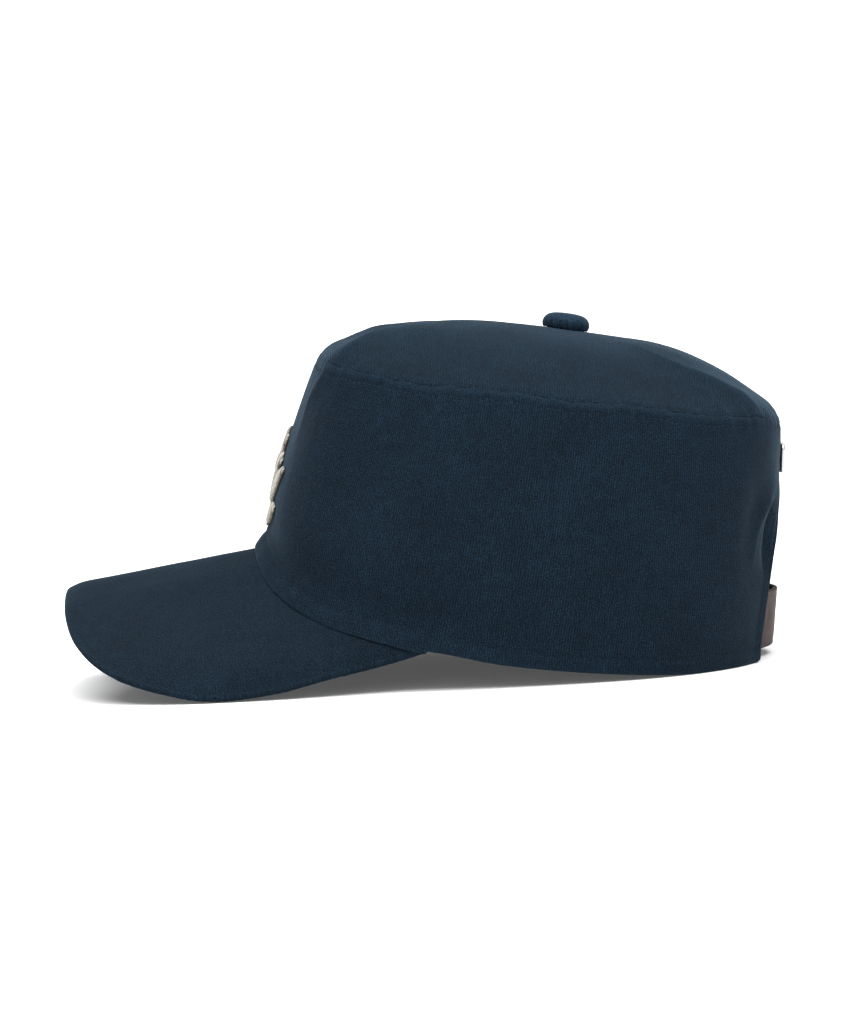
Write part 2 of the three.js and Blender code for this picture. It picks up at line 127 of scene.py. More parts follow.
world = bpy.data.worlds.new("white_studio")
world.use_nodes = True
world.node_tree.nodes.clear()
direction = add(world.node_tree, "TexCoord").outputs["Generated"]
rise = add(world.node_tree, "SeparateXYZ", {0: direction}).outputs["Z"]
room = add(world.node_tree, "MapRange", {0: rise, 1: BAND_TOP, 2: BAND_END, 3: HORIZON_LIGHT,
                                         4: ROOM_LIGHT})
background = add(world.node_tree, "Background",
                 {"Color": (1, 1, 1, 1), "Strength": room.outputs[0]})
add(world.node_tree, "OutputWorld", {"Surface": background.outputs[0]})
bpy.context.scene.world = world

for light_name, toward, spread, strength in LIGHTS:
    light = bpy.data.objects.new(light_name, bpy.data.lights.new(light_name, "SUN"))
    light.data.angle, light.data.energy = math.radians(spread), strength
    light.rotation_euler = Vector(toward).to_track_quat("Z", "Y").to_euler()
    bpy.context.collection.objects.link(light)


FLOOR_WIDE, FLOOR_SHADE, FLOOR_GLOW = 12, 0.75, 0.07
FLOOR_GRAIN = 900.0  # lumps to the metre


def floor_paint(tree):
    grain = add(tree, "TexNoise", {"Scale": FLOOR_GRAIN, "Detail": 2.0})
    bump = add(tree, "Bump", {"Height": grain.outputs[0], "Strength": 0.05, "Distance": 0.0001})
    return add(tree, "BsdfPrincipled", {
        "Base Color": (FLOOR_SHADE,) * 3 + (1,), "Roughness": 0.85, "Specular IOR Level": 0.0,
        "Emission Color": (1, 1, 1, 1), "Emission Strength": FLOOR_GLOW,
        "Normal": bump.outputs[0]})


bpy.ops.mesh.primitive_plane_add(size=FLOOR_WIDE, location=(0, 0, 0))
floor = bpy.context.object
floor.name = "floor"
floor.data.materials.append(new_material("matt_pale_floor", floor_paint))

# %% [markdown]
# ## The cap's measures
# Soft goods are easiest to shape from a few curves that a pattern cutter would know: the oval
# of the hem, the oval of the top seam and the arch of the peak. Their reach comes from the
# frame's boxes, so every piece made from them lands where its solid is.

# %% Ovals of the hem and the seam
wall_high, tip_high = np.array(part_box("crown_wall")[1]), np.array(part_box("crown_top")[1])
peak_low, peak_high = (np.array(corner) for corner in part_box("peak"))

MIDDLE = peak_low[1] + 137 * MM  # the frame's origin is under the middle of the length
hem = dict(front=-62.5 * MM + MIDDLE, back=131.5 * MM + MIDDLE, widest=32 * MM + MIDDLE,
           half=wall_high[0] - 2.25 * MM, square=2.5, cut=(-80 * MM + MIDDLE, 150 * MM + MIDDLE))
seam = dict(front=-44 * MM + MIDDLE, back=146 * MM + MIDDLE, widest=52 * MM + MIDDLE,
            half=tip_high[0], square=2.1, cut=(-34.8 * MM + MIDDLE, 143 * MM + MIDDLE))
CUT_SHARPNESS = 22
SEAM_FRONT_Z, SEAM_BACK_Z, SEAM_SAG = 124.5 * MM, 92 * MM, 3 * MM
# how far the sewn line wanders up, by the turn from the front: (degrees, mm)
SEAM_WANDER = [(0, 0), (18, 0), (30, -1.0), (42, -0.7), (53, -1.3), (65, 0.2), (80, 1.0),
               (95, 0.4), (114, 1.6), (131, 0.3), (153, 0.4), (170, 0), (180, 0)]
SEAM_RIPPLES = [(37, 0.2), (61, 0.16), (103, 0.1)]  # (waves round the seam, mm high)


def mix(a, b, t):
    return a + (b - a) * t


def bell(t):
    """A smooth bump: 1 at 0, and 0 from 1 outward."""
    return np.clip(1 - t * t, 0, None) ** 2


def oval(curve, angle):
    """Points (x, y) of an oval at angles turned from the front toward the wearer's left."""
    ahead, across = np.cos(angle), np.sin(angle)
    front = ahead > 0
    reach = np.abs(np.where(front, curve["front"], curve["back"]) - curve["widest"])
    cut = np.abs(np.where(front, *curve["cut"]) - curve["widest"])
    n, k = curve["square"], CUT_SHARPNESS
    total = np.abs(ahead / reach) ** n + np.abs(across / curve["half"]) ** n
    radius = (total ** (k / n) + np.abs(ahead / cut) ** k) ** (-1 / k)
    return radius * across, curve["widest"] - radius * ahead


def table(rows, at):
    """A smooth curve through a table's (in, out) rows that never overshoots them."""
    xs, ys = np.array(rows, float).T
    slope = np.diff(ys) / np.diff(xs)
    before, after = np.r_[slope[0], slope], np.r_[slope, slope[-1]]
    total = before + after
    tangent = np.where(before * after > 0, 2 * before * after / np.where(total == 0, 1, total), 0)
    i = np.clip(np.searchsorted(xs, at) - 1, 0, len(xs) - 2)
    width = xs[i + 1] - xs[i]
    t = np.clip((at - xs[i]) / width, 0, 1)
    lead = t * (1 - t) ** 2 * width * tangent[i]
    trail = t * t * (1 - t) * width * tangent[i + 1]
    return ys[i] + (ys[i + 1] - ys[i]) * t * t * (3 - 2 * t) + lead - trail


print("hem half width", round(hem["half"] / MM, 1), "mm, seam", round(seam["half"] / MM, 1), "mm")

# %% [markdown]
# ## The peak's arch and the hem above it
# A real peak is a flat board bent over a form, so it is one arch swept along a straight ridge.
# The hem of the crown follows the peak's upper face, then drops to the table at the back.

# %% Peak surface, hem height and seam height
GAP = 0.3 * MM
PEAK_SLOPE, PEAK_END, HEM_CLEARANCE = 0.14, 1 * MM + MIDDLE, 6 * MM
# (distance across, drop below the ridge), both in mm
PEAK_ARCH = [(-20, 4.4), (0, 0), (20, 4.4), (40, 13.8), (56, 23), (70, 33), (77, 40), (82, 49),
             (86, 58)]
# (distance behind the crown's middle, height above the table), both in mm
HEM_LINE = [(0, 15.2), (8, 13.7), (27, 9), (46, 5.8), (65, 3.3), (84, 1.3), (104, 0), (140, 0)]


def peak_rise(x, y):
    return PEAK_SLOPE * (y - MIDDLE + 62.5 * MM) - table(PEAK_ARCH, np.abs(x) / MM) * MM


PEAK_MARGIN = 3.2 * MM
PEAK_LIFT = peak_high[2] - peak_rise(0.0, hem["front"] + PEAK_MARGIN)


def hem_height(x, y):
    over_peak = peak_rise(x, y) + PEAK_LIFT + GAP
    behind = table(HEM_LINE, (y - MIDDLE) / MM) * MM
    at_end = np.where(y < PEAK_END + HEM_CLEARANCE, np.maximum(over_peak, behind), behind)
    return np.where(y < PEAK_END, over_peak, at_end)


def seam_height(y, angle, size=1.0):
    front, back = seam["cut"]
    fall = mix(SEAM_FRONT_Z, SEAM_BACK_Z, (y - front) / (back - front))
    turned = np.degrees(np.arccos(np.clip(np.cos(angle), -1, 1)))
    wander = table(SEAM_WANDER, turned) * np.asarray(size, float) ** 8
    ripple = sum(high * np.sin(often * angle + often) for often, high in SEAM_RIPPLES)
    wander = wander + ripple * np.asarray(size, float) ** 40
    return fall - SEAM_SAG * (1 - np.cos(angle) ** 4) * size ** 2 + wander * MM


print("peak ridge", round(PEAK_LIFT / MM, 1), "mm above the table")

# %% [markdown]
# ## The wall's surface
# The side of the crown is one band of cloth, sewn to the top and pulled down to the hem. It is
# described by an angle round the head and a share of the way up, with a slight outward bulge,
# and a few hollows where the cloth relaxes.

# %% Points on the crown's wall
BULGE_FRONT, BULGE_SIDE, BULGE_BACK = 1.2 * MM, 5 * MM, 1 * MM
# (turn from the front and spread in degrees, share up, share tall, depth in mm)
HOLLOWS = [(153, 9, 0.55, 0.35, 1.8), (-158, 8, 0.6, 0.3, 1.2), (48, 20, 0.72, 0.4, 1.2)]


def turn_between(a, b):
    return np.abs(np.arctan2(np.sin(a - b), np.cos(a - b)))


def wall_bulge(angle, up):
    c = np.cos(angle)
    end = np.where(c > 0, BULGE_FRONT, BULGE_BACK)
    bulge = mix(BULGE_SIDE, end, c * c) * 4 * up * (1 - up)
    for turn, spread, height, tall, depth in HOLLOWS:
        side = bell(turn_between(angle, math.radians(turn)) / math.radians(spread))
        bulge = bulge - depth * MM * side * bell((up - height) / tall)
    return bulge


def wall_level(angle, up):
    (hem_x, hem_y), (seam_x, seam_y) = oval(hem, angle), oval(seam, angle)
    return mix(hem_x, seam_x, up), mix(hem_y, seam_y, up)


def wall_normal(angle, up):
    """The level direction that points out of the wall."""
    step = 1e-3
    (x0, y0), (x1, y1) = wall_level(angle - step, up), wall_level(angle + step, up)
    along = np.hypot(x1 - x0, y1 - y0)
    return (y1 - y0) / along, -(x1 - x0) / along


def wall_point(angle, up, out=0.0):
    """up is 0 at the hem and 1 at the seam; out is how far the point stands off the wall."""
    angle, up = np.broadcast_arrays(np.asarray(angle, float), np.asarray(up, float))
    x, y = wall_level(angle, up)
    normal_x, normal_y = wall_normal(angle, up)
    away = wall_bulge(angle, up) + out
    foot_x, foot_y = oval(hem, angle)
    foot = hem_height(foot_x + normal_x * away * (1 - up), foot_y + normal_y * away * (1 - up))
    head = seam_height(oval(seam, angle)[1], angle)
    return np.stack([x + normal_x * away, y + normal_y * away, mix(foot, head, up)], -1)


def on_wall(side, x, z):
    """The (angle, up) of the wall at a distance across and a height, on its front or back."""
    middle, sign = (0, 1) if side == "front" else (math.pi, -1)
    reach = abs(wall_point(middle, 0.5)[1] - mix(hem["widest"], seam["widest"], 0.5))
    angle = middle + sign * np.asarray(x, float) / reach
    foot, head = wall_point(angle, 0)[..., 2], wall_point(angle, 1)[..., 2]
    return angle, (z - foot) / (head - foot)


print("wall is", round((wall_point(0, 1)[2] - wall_point(0, 0)[2]) / MM), "mm high in front")

# %% [markdown]
# ## From points to meshes
# Sewn panels, straps and threads are all regular grids of points, so three helpers make every
# mesh: one turns a grid into quads, one welds and turns the faces outward, and one builds many
# thin tubes at once for stitches and embroidery.

# %% Grid meshes
WELD = 0.001 * MM  # points this close become one


def grid_faces(rows, columns, wrap_columns=False, wrap_rows=False, start=0):
    """Quads of a grid, with the grid column and row of each corner, for its UVs."""
    r, c = np.meshgrid(np.arange(rows - (not wrap_rows)), np.arange(columns - (not wrap_columns)),
                       indexing="ij")
    corner_rows = np.stack([r, r, r + 1, r + 1], -1).reshape(-1, 4)
    corner_columns = np.stack([c, c + 1, c + 1, c], -1).reshape(-1, 4)
    faces = start + (corner_rows % rows) * columns + corner_columns % columns
    return faces, corner_rows, corner_columns


def finish_mesh(name, mesh, material, stands_for=(), weld=None):
    """Welds seams, turns the faces outward, shades smooth, and hands the piece to the frame."""
    work = bmesh.new()
    work.from_mesh(mesh)
    if weld:
        bmesh.ops.remove_doubles(work, verts=work.verts, dist=weld)
        bmesh.ops.dissolve_degenerate(work, edges=work.edges, dist=weld)
    if work.calc_volume(signed=True) < 0:
        bmesh.ops.reverse_faces(work, faces=work.faces)
    open_edges = sum(edge.is_boundary for edge in work.edges)
    work.to_mesh(mesh)
    work.free()
    mesh.shade_smooth()
    mesh.materials.append(material)
    piece = bpy.data.objects.new(name, mesh)
    bpy.context.collection.objects.link(piece)
    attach(piece, "root")
    for node in stands_for:
        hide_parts(node)
    print(f"{name}: {len(mesh.polygons)} faces, {open_edges} open edges")
    return piece


def grid_mesh(name, grids):
    """One mesh from a list of dicts: points (rows, columns, 3), uv (rows + 1, columns + 1, 2),
    wear (rows, columns), and wrap_columns or wrap_rows."""
    points, faces, uvs, wear_and_highlight, start = [], [], [], [], 0
    for grid in grids:
        rows, columns = grid["points"].shape[:2]
        quads, at_row, at_column = grid_faces(rows, columns, grid.get("wrap_columns", False),
                                              grid.get("wrap_rows", False), start)
        points.append(grid["points"].reshape(-1, 3))
        faces.append(quads)
        uvs.append(grid["uv"][at_row, at_column].reshape(-1, 2))
        wear_and_highlight.append(grid.get("wear_and_highlight", np.zeros((rows, columns))).ravel())
        start += rows * columns
    mesh = bpy.data.meshes.new(name)
    mesh.from_pydata(np.concatenate(points).tolist(), [], np.concatenate(faces).tolist())
    layer = mesh.uv_layers.new(name="cloth")
    layer.data.foreach_set("uv", np.concatenate(uvs).astype(np.float32).ravel())
    attribute = mesh.attributes.new("wear_and_highlight", "FLOAT", "POINT")
    attribute.data.foreach_set("value", np.concatenate(wear_and_highlight).astype(np.float32))
    return mesh


# %% Noise, normals and lengths on grids
def lumps(points, size, seed, stretch=(1, 1, 1)):
    """Smooth noise of about -1 to 1, with lumps of one size, at every point."""
    scaled = points.reshape(-1, 3) / (size * np.array(stretch)) + seed
    values = [noise.noise(Vector(point)) for point in scaled.tolist()]
    return np.array(values).reshape(points.shape[:-1])


def dents(points, waves):
    """Slow noise of several sizes: waves has (mm high, mm across, seed) for each."""
    return sum(high * MM * lumps(points, size * MM, seed) for high, size, seed in waves)


def ring_normals(points):
    """Unit normals of a grid of points (rings, columns, 3) whose rings are closed."""
    across = (np.roll(points, -1, 1) - np.roll(points, 1, 1)) / 2
    normal = np.cross(across, np.gradient(points, axis=0))
    return normal / np.maximum(np.linalg.norm(normal, axis=-1, keepdims=True), 1e-12)


def lengths(points):
    """Distance along a line of points from its start."""
    return np.r_[0, np.cumsum(np.linalg.norm(np.diff(points, axis=0), axis=1))]


def resample(points, count):
    """A line of points spaced evenly along its length. Columns after x, y, z are carried along."""
    along = lengths(points[:, :3])
    at = np.linspace(0, along[-1], count)
    return np.stack([np.interp(at, along, points[:, i]) for i in range(points.shape[1])], -1)


def rounding(distance, along, deep):
    """How far an edge turns in at a distance from its fold: deep at the fold, 0 from along on."""
    short = np.clip(1 - distance / along, 0, 1)
    return deep * (1 - np.sqrt(np.clip(1 - short ** 2, 0, 1)))


def groove(distance, middle, width):
    return np.exp(-((distance - middle) / width) ** 2)


RIDGE_ROUND = 0.5 * MM  # how far a fold's ridge is rounded over


def fold_height(points, fold, width):
    """The height of a fold's ridge at every point. fold is (x, y, z, height) along the ridge, and
    the cloth slopes away from it on both sides like a tent, over width."""
    line = resample(fold, 160)
    found = []
    for part in np.array_split(points.reshape(-1, 3), 60):
        away = np.linalg.norm(part[:, None] - line[None, :, :3], axis=-1)
        nearest = away.argmin(1)
        softened = np.hypot(away.min(1), RIDGE_ROUND) - RIDGE_ROUND
        found.append(line[nearest, 3] * np.clip(1 - softened / width, 0, None) ** 2)
    return np.concatenate(found).reshape(points.shape[:-1])


# %% Threads: many thin tubes in one mesh
def thread_mesh(name, paths, radii, ups, sides=5, seed=1):
    """paths (n, k, 3), radii (k,) or (n, k), ups (n, k, 3): closed tubes along n short paths."""
    n, k = paths.shape[:2]
    tangent = np.gradient(paths, axis=1)
    tangent /= np.linalg.norm(tangent, axis=-1, keepdims=True)
    side = np.cross(ups, tangent)
    side /= np.linalg.norm(side, axis=-1, keepdims=True)
    top = np.cross(tangent, side)
    turns = np.arange(sides) / sides * 2 * math.pi
    radii = np.broadcast_to(radii, (n, k))[..., None, None]
    ring = (np.cos(turns)[:, None] * side[:, :, None] + np.sin(turns)[:, None] * top[:, :, None])
    points = paths[:, :, None] + radii * ring
    quads, _, _ = grid_faces(k, sides, wrap_columns=True)
    caps = np.array([np.arange(sides)[::-1], (k - 1) * sides + np.arange(sides)])
    starts = np.arange(n)[:, None, None] * k * sides
    faces = (starts + quads).reshape(-1, 4).tolist() + (starts + caps).reshape(-1, sides).tolist()
    mesh = bpy.data.meshes.new(name)
    mesh.from_pydata(points.reshape(-1, 3).tolist(), [], faces)
    tone = np.repeat(np.random.default_rng(seed).random(n), k * sides)
    mesh.attributes.new("tone", "FLOAT", "POINT").data.foreach_set("value", tone)
    return mesh


STITCH_PITCH, STITCH_LENGTH, THREAD_RADIUS = 2.3 * MM, 1.5 * MM, 0.17 * MM


def stitches_along(points, ups, closed=False):
    """Paths and ups of a row of stitches: each dives into the cloth at both of its ends."""
    if closed:
        points, ups = np.vstack([points, points[:1]]), np.vstack([ups, ups[:1]])
    along = lengths(points)
    count = int(along[-1] / STITCH_PITCH)
    starts = np.arange(count) * along[-1] / count
    shares = np.array([0, 0.15, 0.5, 0.85, 1])
    at = starts[:, None] + shares * STITCH_LENGTH
    place = np.stack([np.interp(at, along, points[:, i]) for i in range(3)], -1)
    up = np.stack([np.interp(at, along, ups[:, i]) for i in range(3)], -1)
    height = np.array([-0.26, -0.04, 0.04, -0.04, -0.26]) * MM
    return place + up * height[:, None], up


STITCH_RADII = THREAD_RADIUS * np.array([0.5, 0.95, 1, 0.95, 0.5])


def stitch_rows(name, rows, material, seed):
    """One mesh for several rows of stitches, each row (points, ups, closed)."""
    made = [stitches_along(*row) for row in rows]
    paths, ups = (np.concatenate([row[i] for row in made]) for i in range(2))
    mesh = thread_mesh(name, paths, STITCH_RADII, ups, seed=seed)
    print(name, "has", len(paths), "stitches")
    return finish_mesh(name, mesh, material)


# %% [markdown]
# ## Cotton twill
# Cotton twill is woven so that its warp threads float over several weft threads, which leaves
# fine ribs. It is matt, with a faint bloom of loose fibre that catches light at a slant: that is
# what sheen is for. The ribs run up the wall. The real ones are about 0.4 mm apart, and are drawn
# at 0.95 mm so that they show, with painted shade darkening the gaps between them. Broad, faint
# mottling stands for uneven dye. A value that the panels carry makes the cloth paler along their
# edges and seams, and along the top's fold ridges, where the paleness is a painted highlight.

# %% Twill, its sewing thread and the peak's cloth
# the dye, painted shade for the rib gaps, and a paler colour for edges and for painted highlights
NAVY, NAVY_RIB_GAP_SHADE, NAVY_PALE = "0f1e2a", "050b10", "243543"
RIB_PITCH, YARN_WIDE, YARN_LONG, FIBRE = 0.95 * MM, 0.5 * MM, 2.4 * MM, 0.55 * MM
WAVE_PERIOD = 0.314  # a wave texture repeats over this much of its scaled coordinate
BLOTCH, CLOUD = 4 * MM, 24 * MM
# how dark the darkest yarn, blotch and cloud make the dye; the lightest makes it 2 minus this
YARN_SHADE, BLOTCH_SHADE, CLOUD_SHADE = 0.72, 0.87, 0.88
FIBRE_DARK, FIBRE_LIGHT = 0.08, 1.92
SHEEN_TINT = "7190a7"


def twill_paint(tree, tilt=0.0, rib_depth=0.5, rib_gap_shade=1.0, gain=1.0, sheen=0.25):
    """tilt turns the ribs in degrees; the argument after rib_depth sets the shade painted between
    them.
    """
    uv = add(tree, "TexCoord").outputs["UV"]
    turned = add(tree, "Mapping", {
        "Vector": uv, "Rotation": (0, 0, math.radians(tilt))}).outputs[0]
    ribs = add(tree, "TexWave", {"Vector": turned, "Scale": WAVE_PERIOD / RIB_PITCH,
                                 "Distortion": 0.9, "Detail": 2.0, "Detail Scale": 1.2})
    along = add(tree, "Mapping", {"Vector": turned, "Scale": (1 / YARN_WIDE, 1 / YARN_LONG, 1)})
    yarn = add(tree, "TexNoise", {"Vector": along.outputs[0], "Scale": 1.0, "Detail": 2.0})
    fibre = add(tree, "TexNoise", {"Vector": uv, "Scale": 1 / FIBRE, "Detail": 3.0})
    blotch = add(tree, "TexNoise", {"Vector": uv, "Scale": 1 / BLOTCH, "Detail": 3.0})
    cloud = add(tree, "TexNoise", {"Vector": uv, "Scale": 1 / CLOUD, "Detail": 4.0})
    # painted shade in the gaps between ribs, broken up by the yarn
    broken = add(tree, "MapRange", {0: yarn.outputs[0], 1: 0.35, 2: 0.6, 3: 0.1, 4: 1.0})
    gaps = add(tree, "Math", {0: ribs.outputs["Fac"], 1: broken.outputs[0]},
               operation="MULTIPLY").outputs[0]
    rib_gap_shade_share = add(tree, "MapRange", {0: gaps, 3: 0.5 - rib_gap_shade / 2, 4: 0.5 + rib_gap_shade / 2})
    base = add(tree, "Mix", {0: rib_gap_shade_share.outputs[0], 6: linear(NAVY, gain),
                             7: linear(NAVY_RIB_GAP_SHADE, gain)}, data_type="RGBA")
    # the dye is uneven from fibre to fibre, yarn to yarn, and over the whole cloth
    shade = None
    for texture, low, high in [(fibre, FIBRE_DARK, FIBRE_LIGHT),
                               (yarn, YARN_SHADE, 2 - YARN_SHADE),
                               (blotch, BLOTCH_SHADE, 2 - BLOTCH_SHADE),
                               (cloud, CLOUD_SHADE, 2 - CLOUD_SHADE)]:
        spread = add(tree, "MapRange", {0: texture.outputs[0], 1: 0.3, 2: 0.7, 3: low, 4: high})
        if shade is not None:
            spread = add(tree, "Math", {0: shade, 1: spread.outputs[0]}, operation="MULTIPLY")
        shade = spread.outputs[0]
    grey = add(tree, "CombineColor", {0: shade, 1: shade, 2: shade})
    dyed = add(tree, "Mix", {0: 1.0, 6: base.outputs[2], 7: grey.outputs[0]}, data_type="RGBA",
               blend_type="MULTIPLY")
    # the cloth goes paler, fibre by fibre, along edges and seams, and on fold ridges as a painted
    # highlight
    wear_and_highlight = add(tree, "Attribute", attribute_name="wear_and_highlight").outputs["Fac"]
    pale_fibre = add(tree, "MapRange", {0: fibre.outputs[0], 3: 0.2, 4: 0.9})
    pale_share = add(tree, "Math", {0: wear_and_highlight, 1: pale_fibre.outputs[0]}, operation="MULTIPLY")
    colour = add(tree, "Mix", {0: pale_share.outputs[0], 6: dyed.outputs[2],
                               7: linear(NAVY_PALE, gain)}, data_type="RGBA")
    height = add(tree, "Math", {0: fibre.outputs[0], 1: gaps}, operation="SUBTRACT")
    bump = add(tree, "Bump", {"Height": height.outputs[0], "Strength": rib_depth,
                              "Distance": 0.15 * MM})
    return add(tree, "BsdfPrincipled", {
        "Base Color": colour.outputs[2], "Roughness": 0.92, "Specular IOR Level": 0.1,
        "IOR": 1.46, "Sheen Weight": sheen, "Sheen Roughness": 0.3,
        "Sheen Tint": linear(SHEEN_TINT), "Normal": bump.outputs[0]})


def sewing_thread_paint(tree, dark, light):
    tone = add(tree, "Attribute", attribute_name="tone").outputs["Fac"]
    place = add(tree, "TexCoord").outputs["Object"]
    ply = add(tree, "TexNoise", {"Vector": place, "Scale": 1 / (0.2 * MM), "Detail": 1.0})
    bump = add(tree, "Bump", {"Height": ply.outputs[0], "Strength": 0.5, "Distance": 0.05 * MM})
    colour = add(tree, "Mix", {0: tone, 6: linear(dark), 7: linear(light)}, data_type="RGBA")
    return add(tree, "BsdfPrincipled", {"Base Color": colour.outputs[2], "Roughness": 0.85,
                                        "Specular IOR Level": 0.15, "Normal": bump.outputs[0]})


wall_twill = new_material("navy_cotton_twill", twill_paint)
# the top is the same twill with its colours painted 1.1 times lighter: painted light
tip_twill = new_material("navy_cotton_twill_top_painted_lighter", lambda tree: twill_paint(
    tree, 90.0, 0.7, rib_gap_shade=0.6, gain=1.1, sheen=0.4))
peak_twill = new_material("navy_cotton_peak_cloth", lambda tree: twill_paint(
    tree, 40.0, 0.35, rib_gap_shade=0.4))
# both threads are painted darker than the cloth, as painted shade of the needle holes; the hem's
# darkest
seam_thread_painted_dark = new_material("navy_sewing_thread_painted_dark", lambda tree: sewing_thread_paint(
    tree, "0d161e", "1d2d3a"))
hem_thread_painted_dark = new_material("hem_sewing_thread_painted_dark", lambda tree: sewing_thread_paint(
    tree, "05080c", "0b131a"))
print("twill ribs", RIB_PITCH / MM, "mm apart")

# %% [markdown]
# ## Crown wall
# The wall is one long band with its hem turned up inside and an arch cut out at the back. Cloth
# simulation would lose those crisp turned edges, so it is sculpted in code: a closed shell whose
# edges roll over, a line pressed in by the topstitching, puckers where the seam gathers the
# cloth, and slow dents where it hangs loose.

# %% The arch at the back
ARCH_HALF, ARCH_HEIGHT = 32 * MM, 62.5 * MM
BEHIND, BELOW = 0.08, 0.1  # only points behind and below these are measured from the arch


def arch_line(turn, grow=0.0):
    """Points (x, z) of the arch's edge, from its left foot (turn 0) over to its right foot."""
    x, z = ARCH_HALF * np.cos(turn), ARCH_HEIGHT * np.sin(turn)
    normal_x, normal_z = ARCH_HEIGHT * np.cos(turn), ARCH_HALF * np.sin(turn)
    size = np.hypot(normal_x, normal_z)
    return x + grow * normal_x / size, z + grow * normal_z / size


def on_back(x, z):
    """(angle, up) of the wall at an exact x and height z of its back."""
    angle, up = on_wall("back", x, z)
    for _ in range(12):
        point = wall_point(angle, up)
        reach = wall_point(math.pi, 0.5)[1] - mix(hem["widest"], seam["widest"], 0.5)
        angle = angle + (point[..., 0] - x) / reach
        tall = wall_point(angle, 1)[..., 2] - wall_point(angle, 0)[..., 2]
        up = up + (z - point[..., 2]) / tall
    return angle, up


def arch_distance(points):
    """Distance from points on the back to the arch's edge."""
    edge_x, edge_z = arch_line(np.linspace(0, math.pi, 500))
    flat = points.reshape(-1, 3)
    found = np.full(len(flat), 1.0)
    near = (flat[:, 1] > BEHIND) & (flat[:, 2] < BELOW)
    for part in np.array_split(np.nonzero(near)[0], 60):
        x, z = flat[part, 0], flat[part, 2]
        found[part] = np.hypot(x[:, None] - edge_x, z[:, None] - edge_z).min(1)
    return found.reshape(points.shape[:-1])


arch_angle = float(on_back(ARCH_HALF, 0.0)[0])
print("the arch's foot is at", round(math.degrees(arch_angle), 1), "degrees from the front")

# %% Columns of the wall's grid
SIDE_COLUMNS, ARCH_COLUMNS, WALL_ROWS, INNER_ROWS = 500, 90, 84, 30
WALL_RADIUS = 0.1  # about that of the wall, to turn a length into an angle
near_arch = np.array([0.15, 0.4, 0.8, 1.3]) * MM / WALL_RADIUS
sides = np.linspace(-arch_angle + 0.02, arch_angle - 0.02, SIDE_COLUMNS)
sides = np.r_[-arch_angle, -arch_angle + near_arch, sides, arch_angle - near_arch[::-1]]
arch_turns = np.linspace(0, math.pi, ARCH_COLUMNS)[:-1]
arch_foot_angle, arch_foot_up = on_back(*arch_line(arch_turns))
foot_angle = np.r_[sides, arch_foot_angle]
foot_up = np.r_[np.zeros(len(sides)), arch_foot_up]
head_angle = np.r_[sides, np.linspace(arch_angle, 2 * math.pi - arch_angle, ARCH_COLUMNS)[:-1]]
print("wall columns", len(foot_angle))


def wall_grid(rows):
    """(angle, up, points) with rows packed toward the hem and the seam."""
    share = (0.5 - 0.5 * np.cos(np.linspace(0, math.pi, rows)))[:, None]
    angle, up = mix(foot_angle, head_angle, share), mix(foot_up, 1.0, share)
    return angle, up, wall_point(angle, up)


# %% Relief of the wall's cloth
HEM_STITCH, SEAM_STITCH = 6.0 * MM, 4.0 * MM
WALL_THICK = 2 * MM
WALL_DENTS = [(0.55, 42, 3.1), (0.28, 19, 7.7)]  # (mm high, mm across, seed)
CALM = 14 * MM  # the dents fade this close to an edge
GATHER, GATHER_SIZE, GATHER_SEED = 0.6 * MM, 4 * MM, 5.5  # puckers shared by wall and top
# the ridges down the front corner and beside the arch, and the hollow between that one and the
# arch: (turn in degrees, share up, mm high)
CORNER_FOLD = [(27, 1.0, 0.5), (25.5, 0.96, 0.9), (23.6, 0.9, 1.0), (21, 0.82, 0.9),
               (19.4, 0.74, 0.7), (18.8, 0.66, 0.5), (18.2, 0.53, 0)]
ARCH_FOLD = [(169, 0.7, 0.3), (161.5, 0.668, 1.2), (157.6, 0.649, 1.9), (155.2, 0.625, 2.1),
             (153.4, 0.58, 1.8), (152.2, 0.52, 1.3), (151.5, 0.45, 0.8), (151.2, 0.36, 0)]
ARCH_HOLLOW = [(166, 0.68, 0), (161.5, 0.63, 2.4), (160, 0.55, 3.2), (158.8, 0.45, 2.4),
               (157.5, 0.35, 0)]
SHOULDER_IN, SHOULDER_TALL = 0.5 * MM, 9 * MM
CURL_IN, CREASE, CURL_REACH, CURL_TOP = 1.4 * MM, 0.9 * MM, 5 * MM, 66 * MM
HEM_HOLLOW, HEM_FLARE, HEM_BAND = 2.2 * MM, 0.9 * MM, 6 * MM
CORNER_LIFT, CORNER_REACH = 2.5 * MM, 4 * MM


def shoulder(angle):
    """How far the cloth turns in at the seam: most at the back, where the crown is rounded."""
    back = bell(turn_between(angle, math.pi) / 0.6)
    front = bell(turn_between(angle, 0) / 0.6)
    return SHOULDER_IN + (1.7 * back + 0.8 * front) * MM


def arch_curl(x, z, from_arch):
    """How far the arch's edge bends in from a crease beside it, on the wearer's left."""
    low = np.clip((CURL_TOP - z) / (20 * MM), 0, 1)
    crease = CREASE * np.clip(1 - np.abs(from_arch - CURL_REACH) / (4 * MM), 0, 1)
    return low * (x > 0) * (CURL_IN * np.clip(1 - from_arch / CURL_REACH, 0, 1) - crease)


def wall_fold(rows, side):
    turn, up, height = np.array(rows, float).T
    return np.column_stack([wall_point(side * np.radians(turn), up), height * MM])


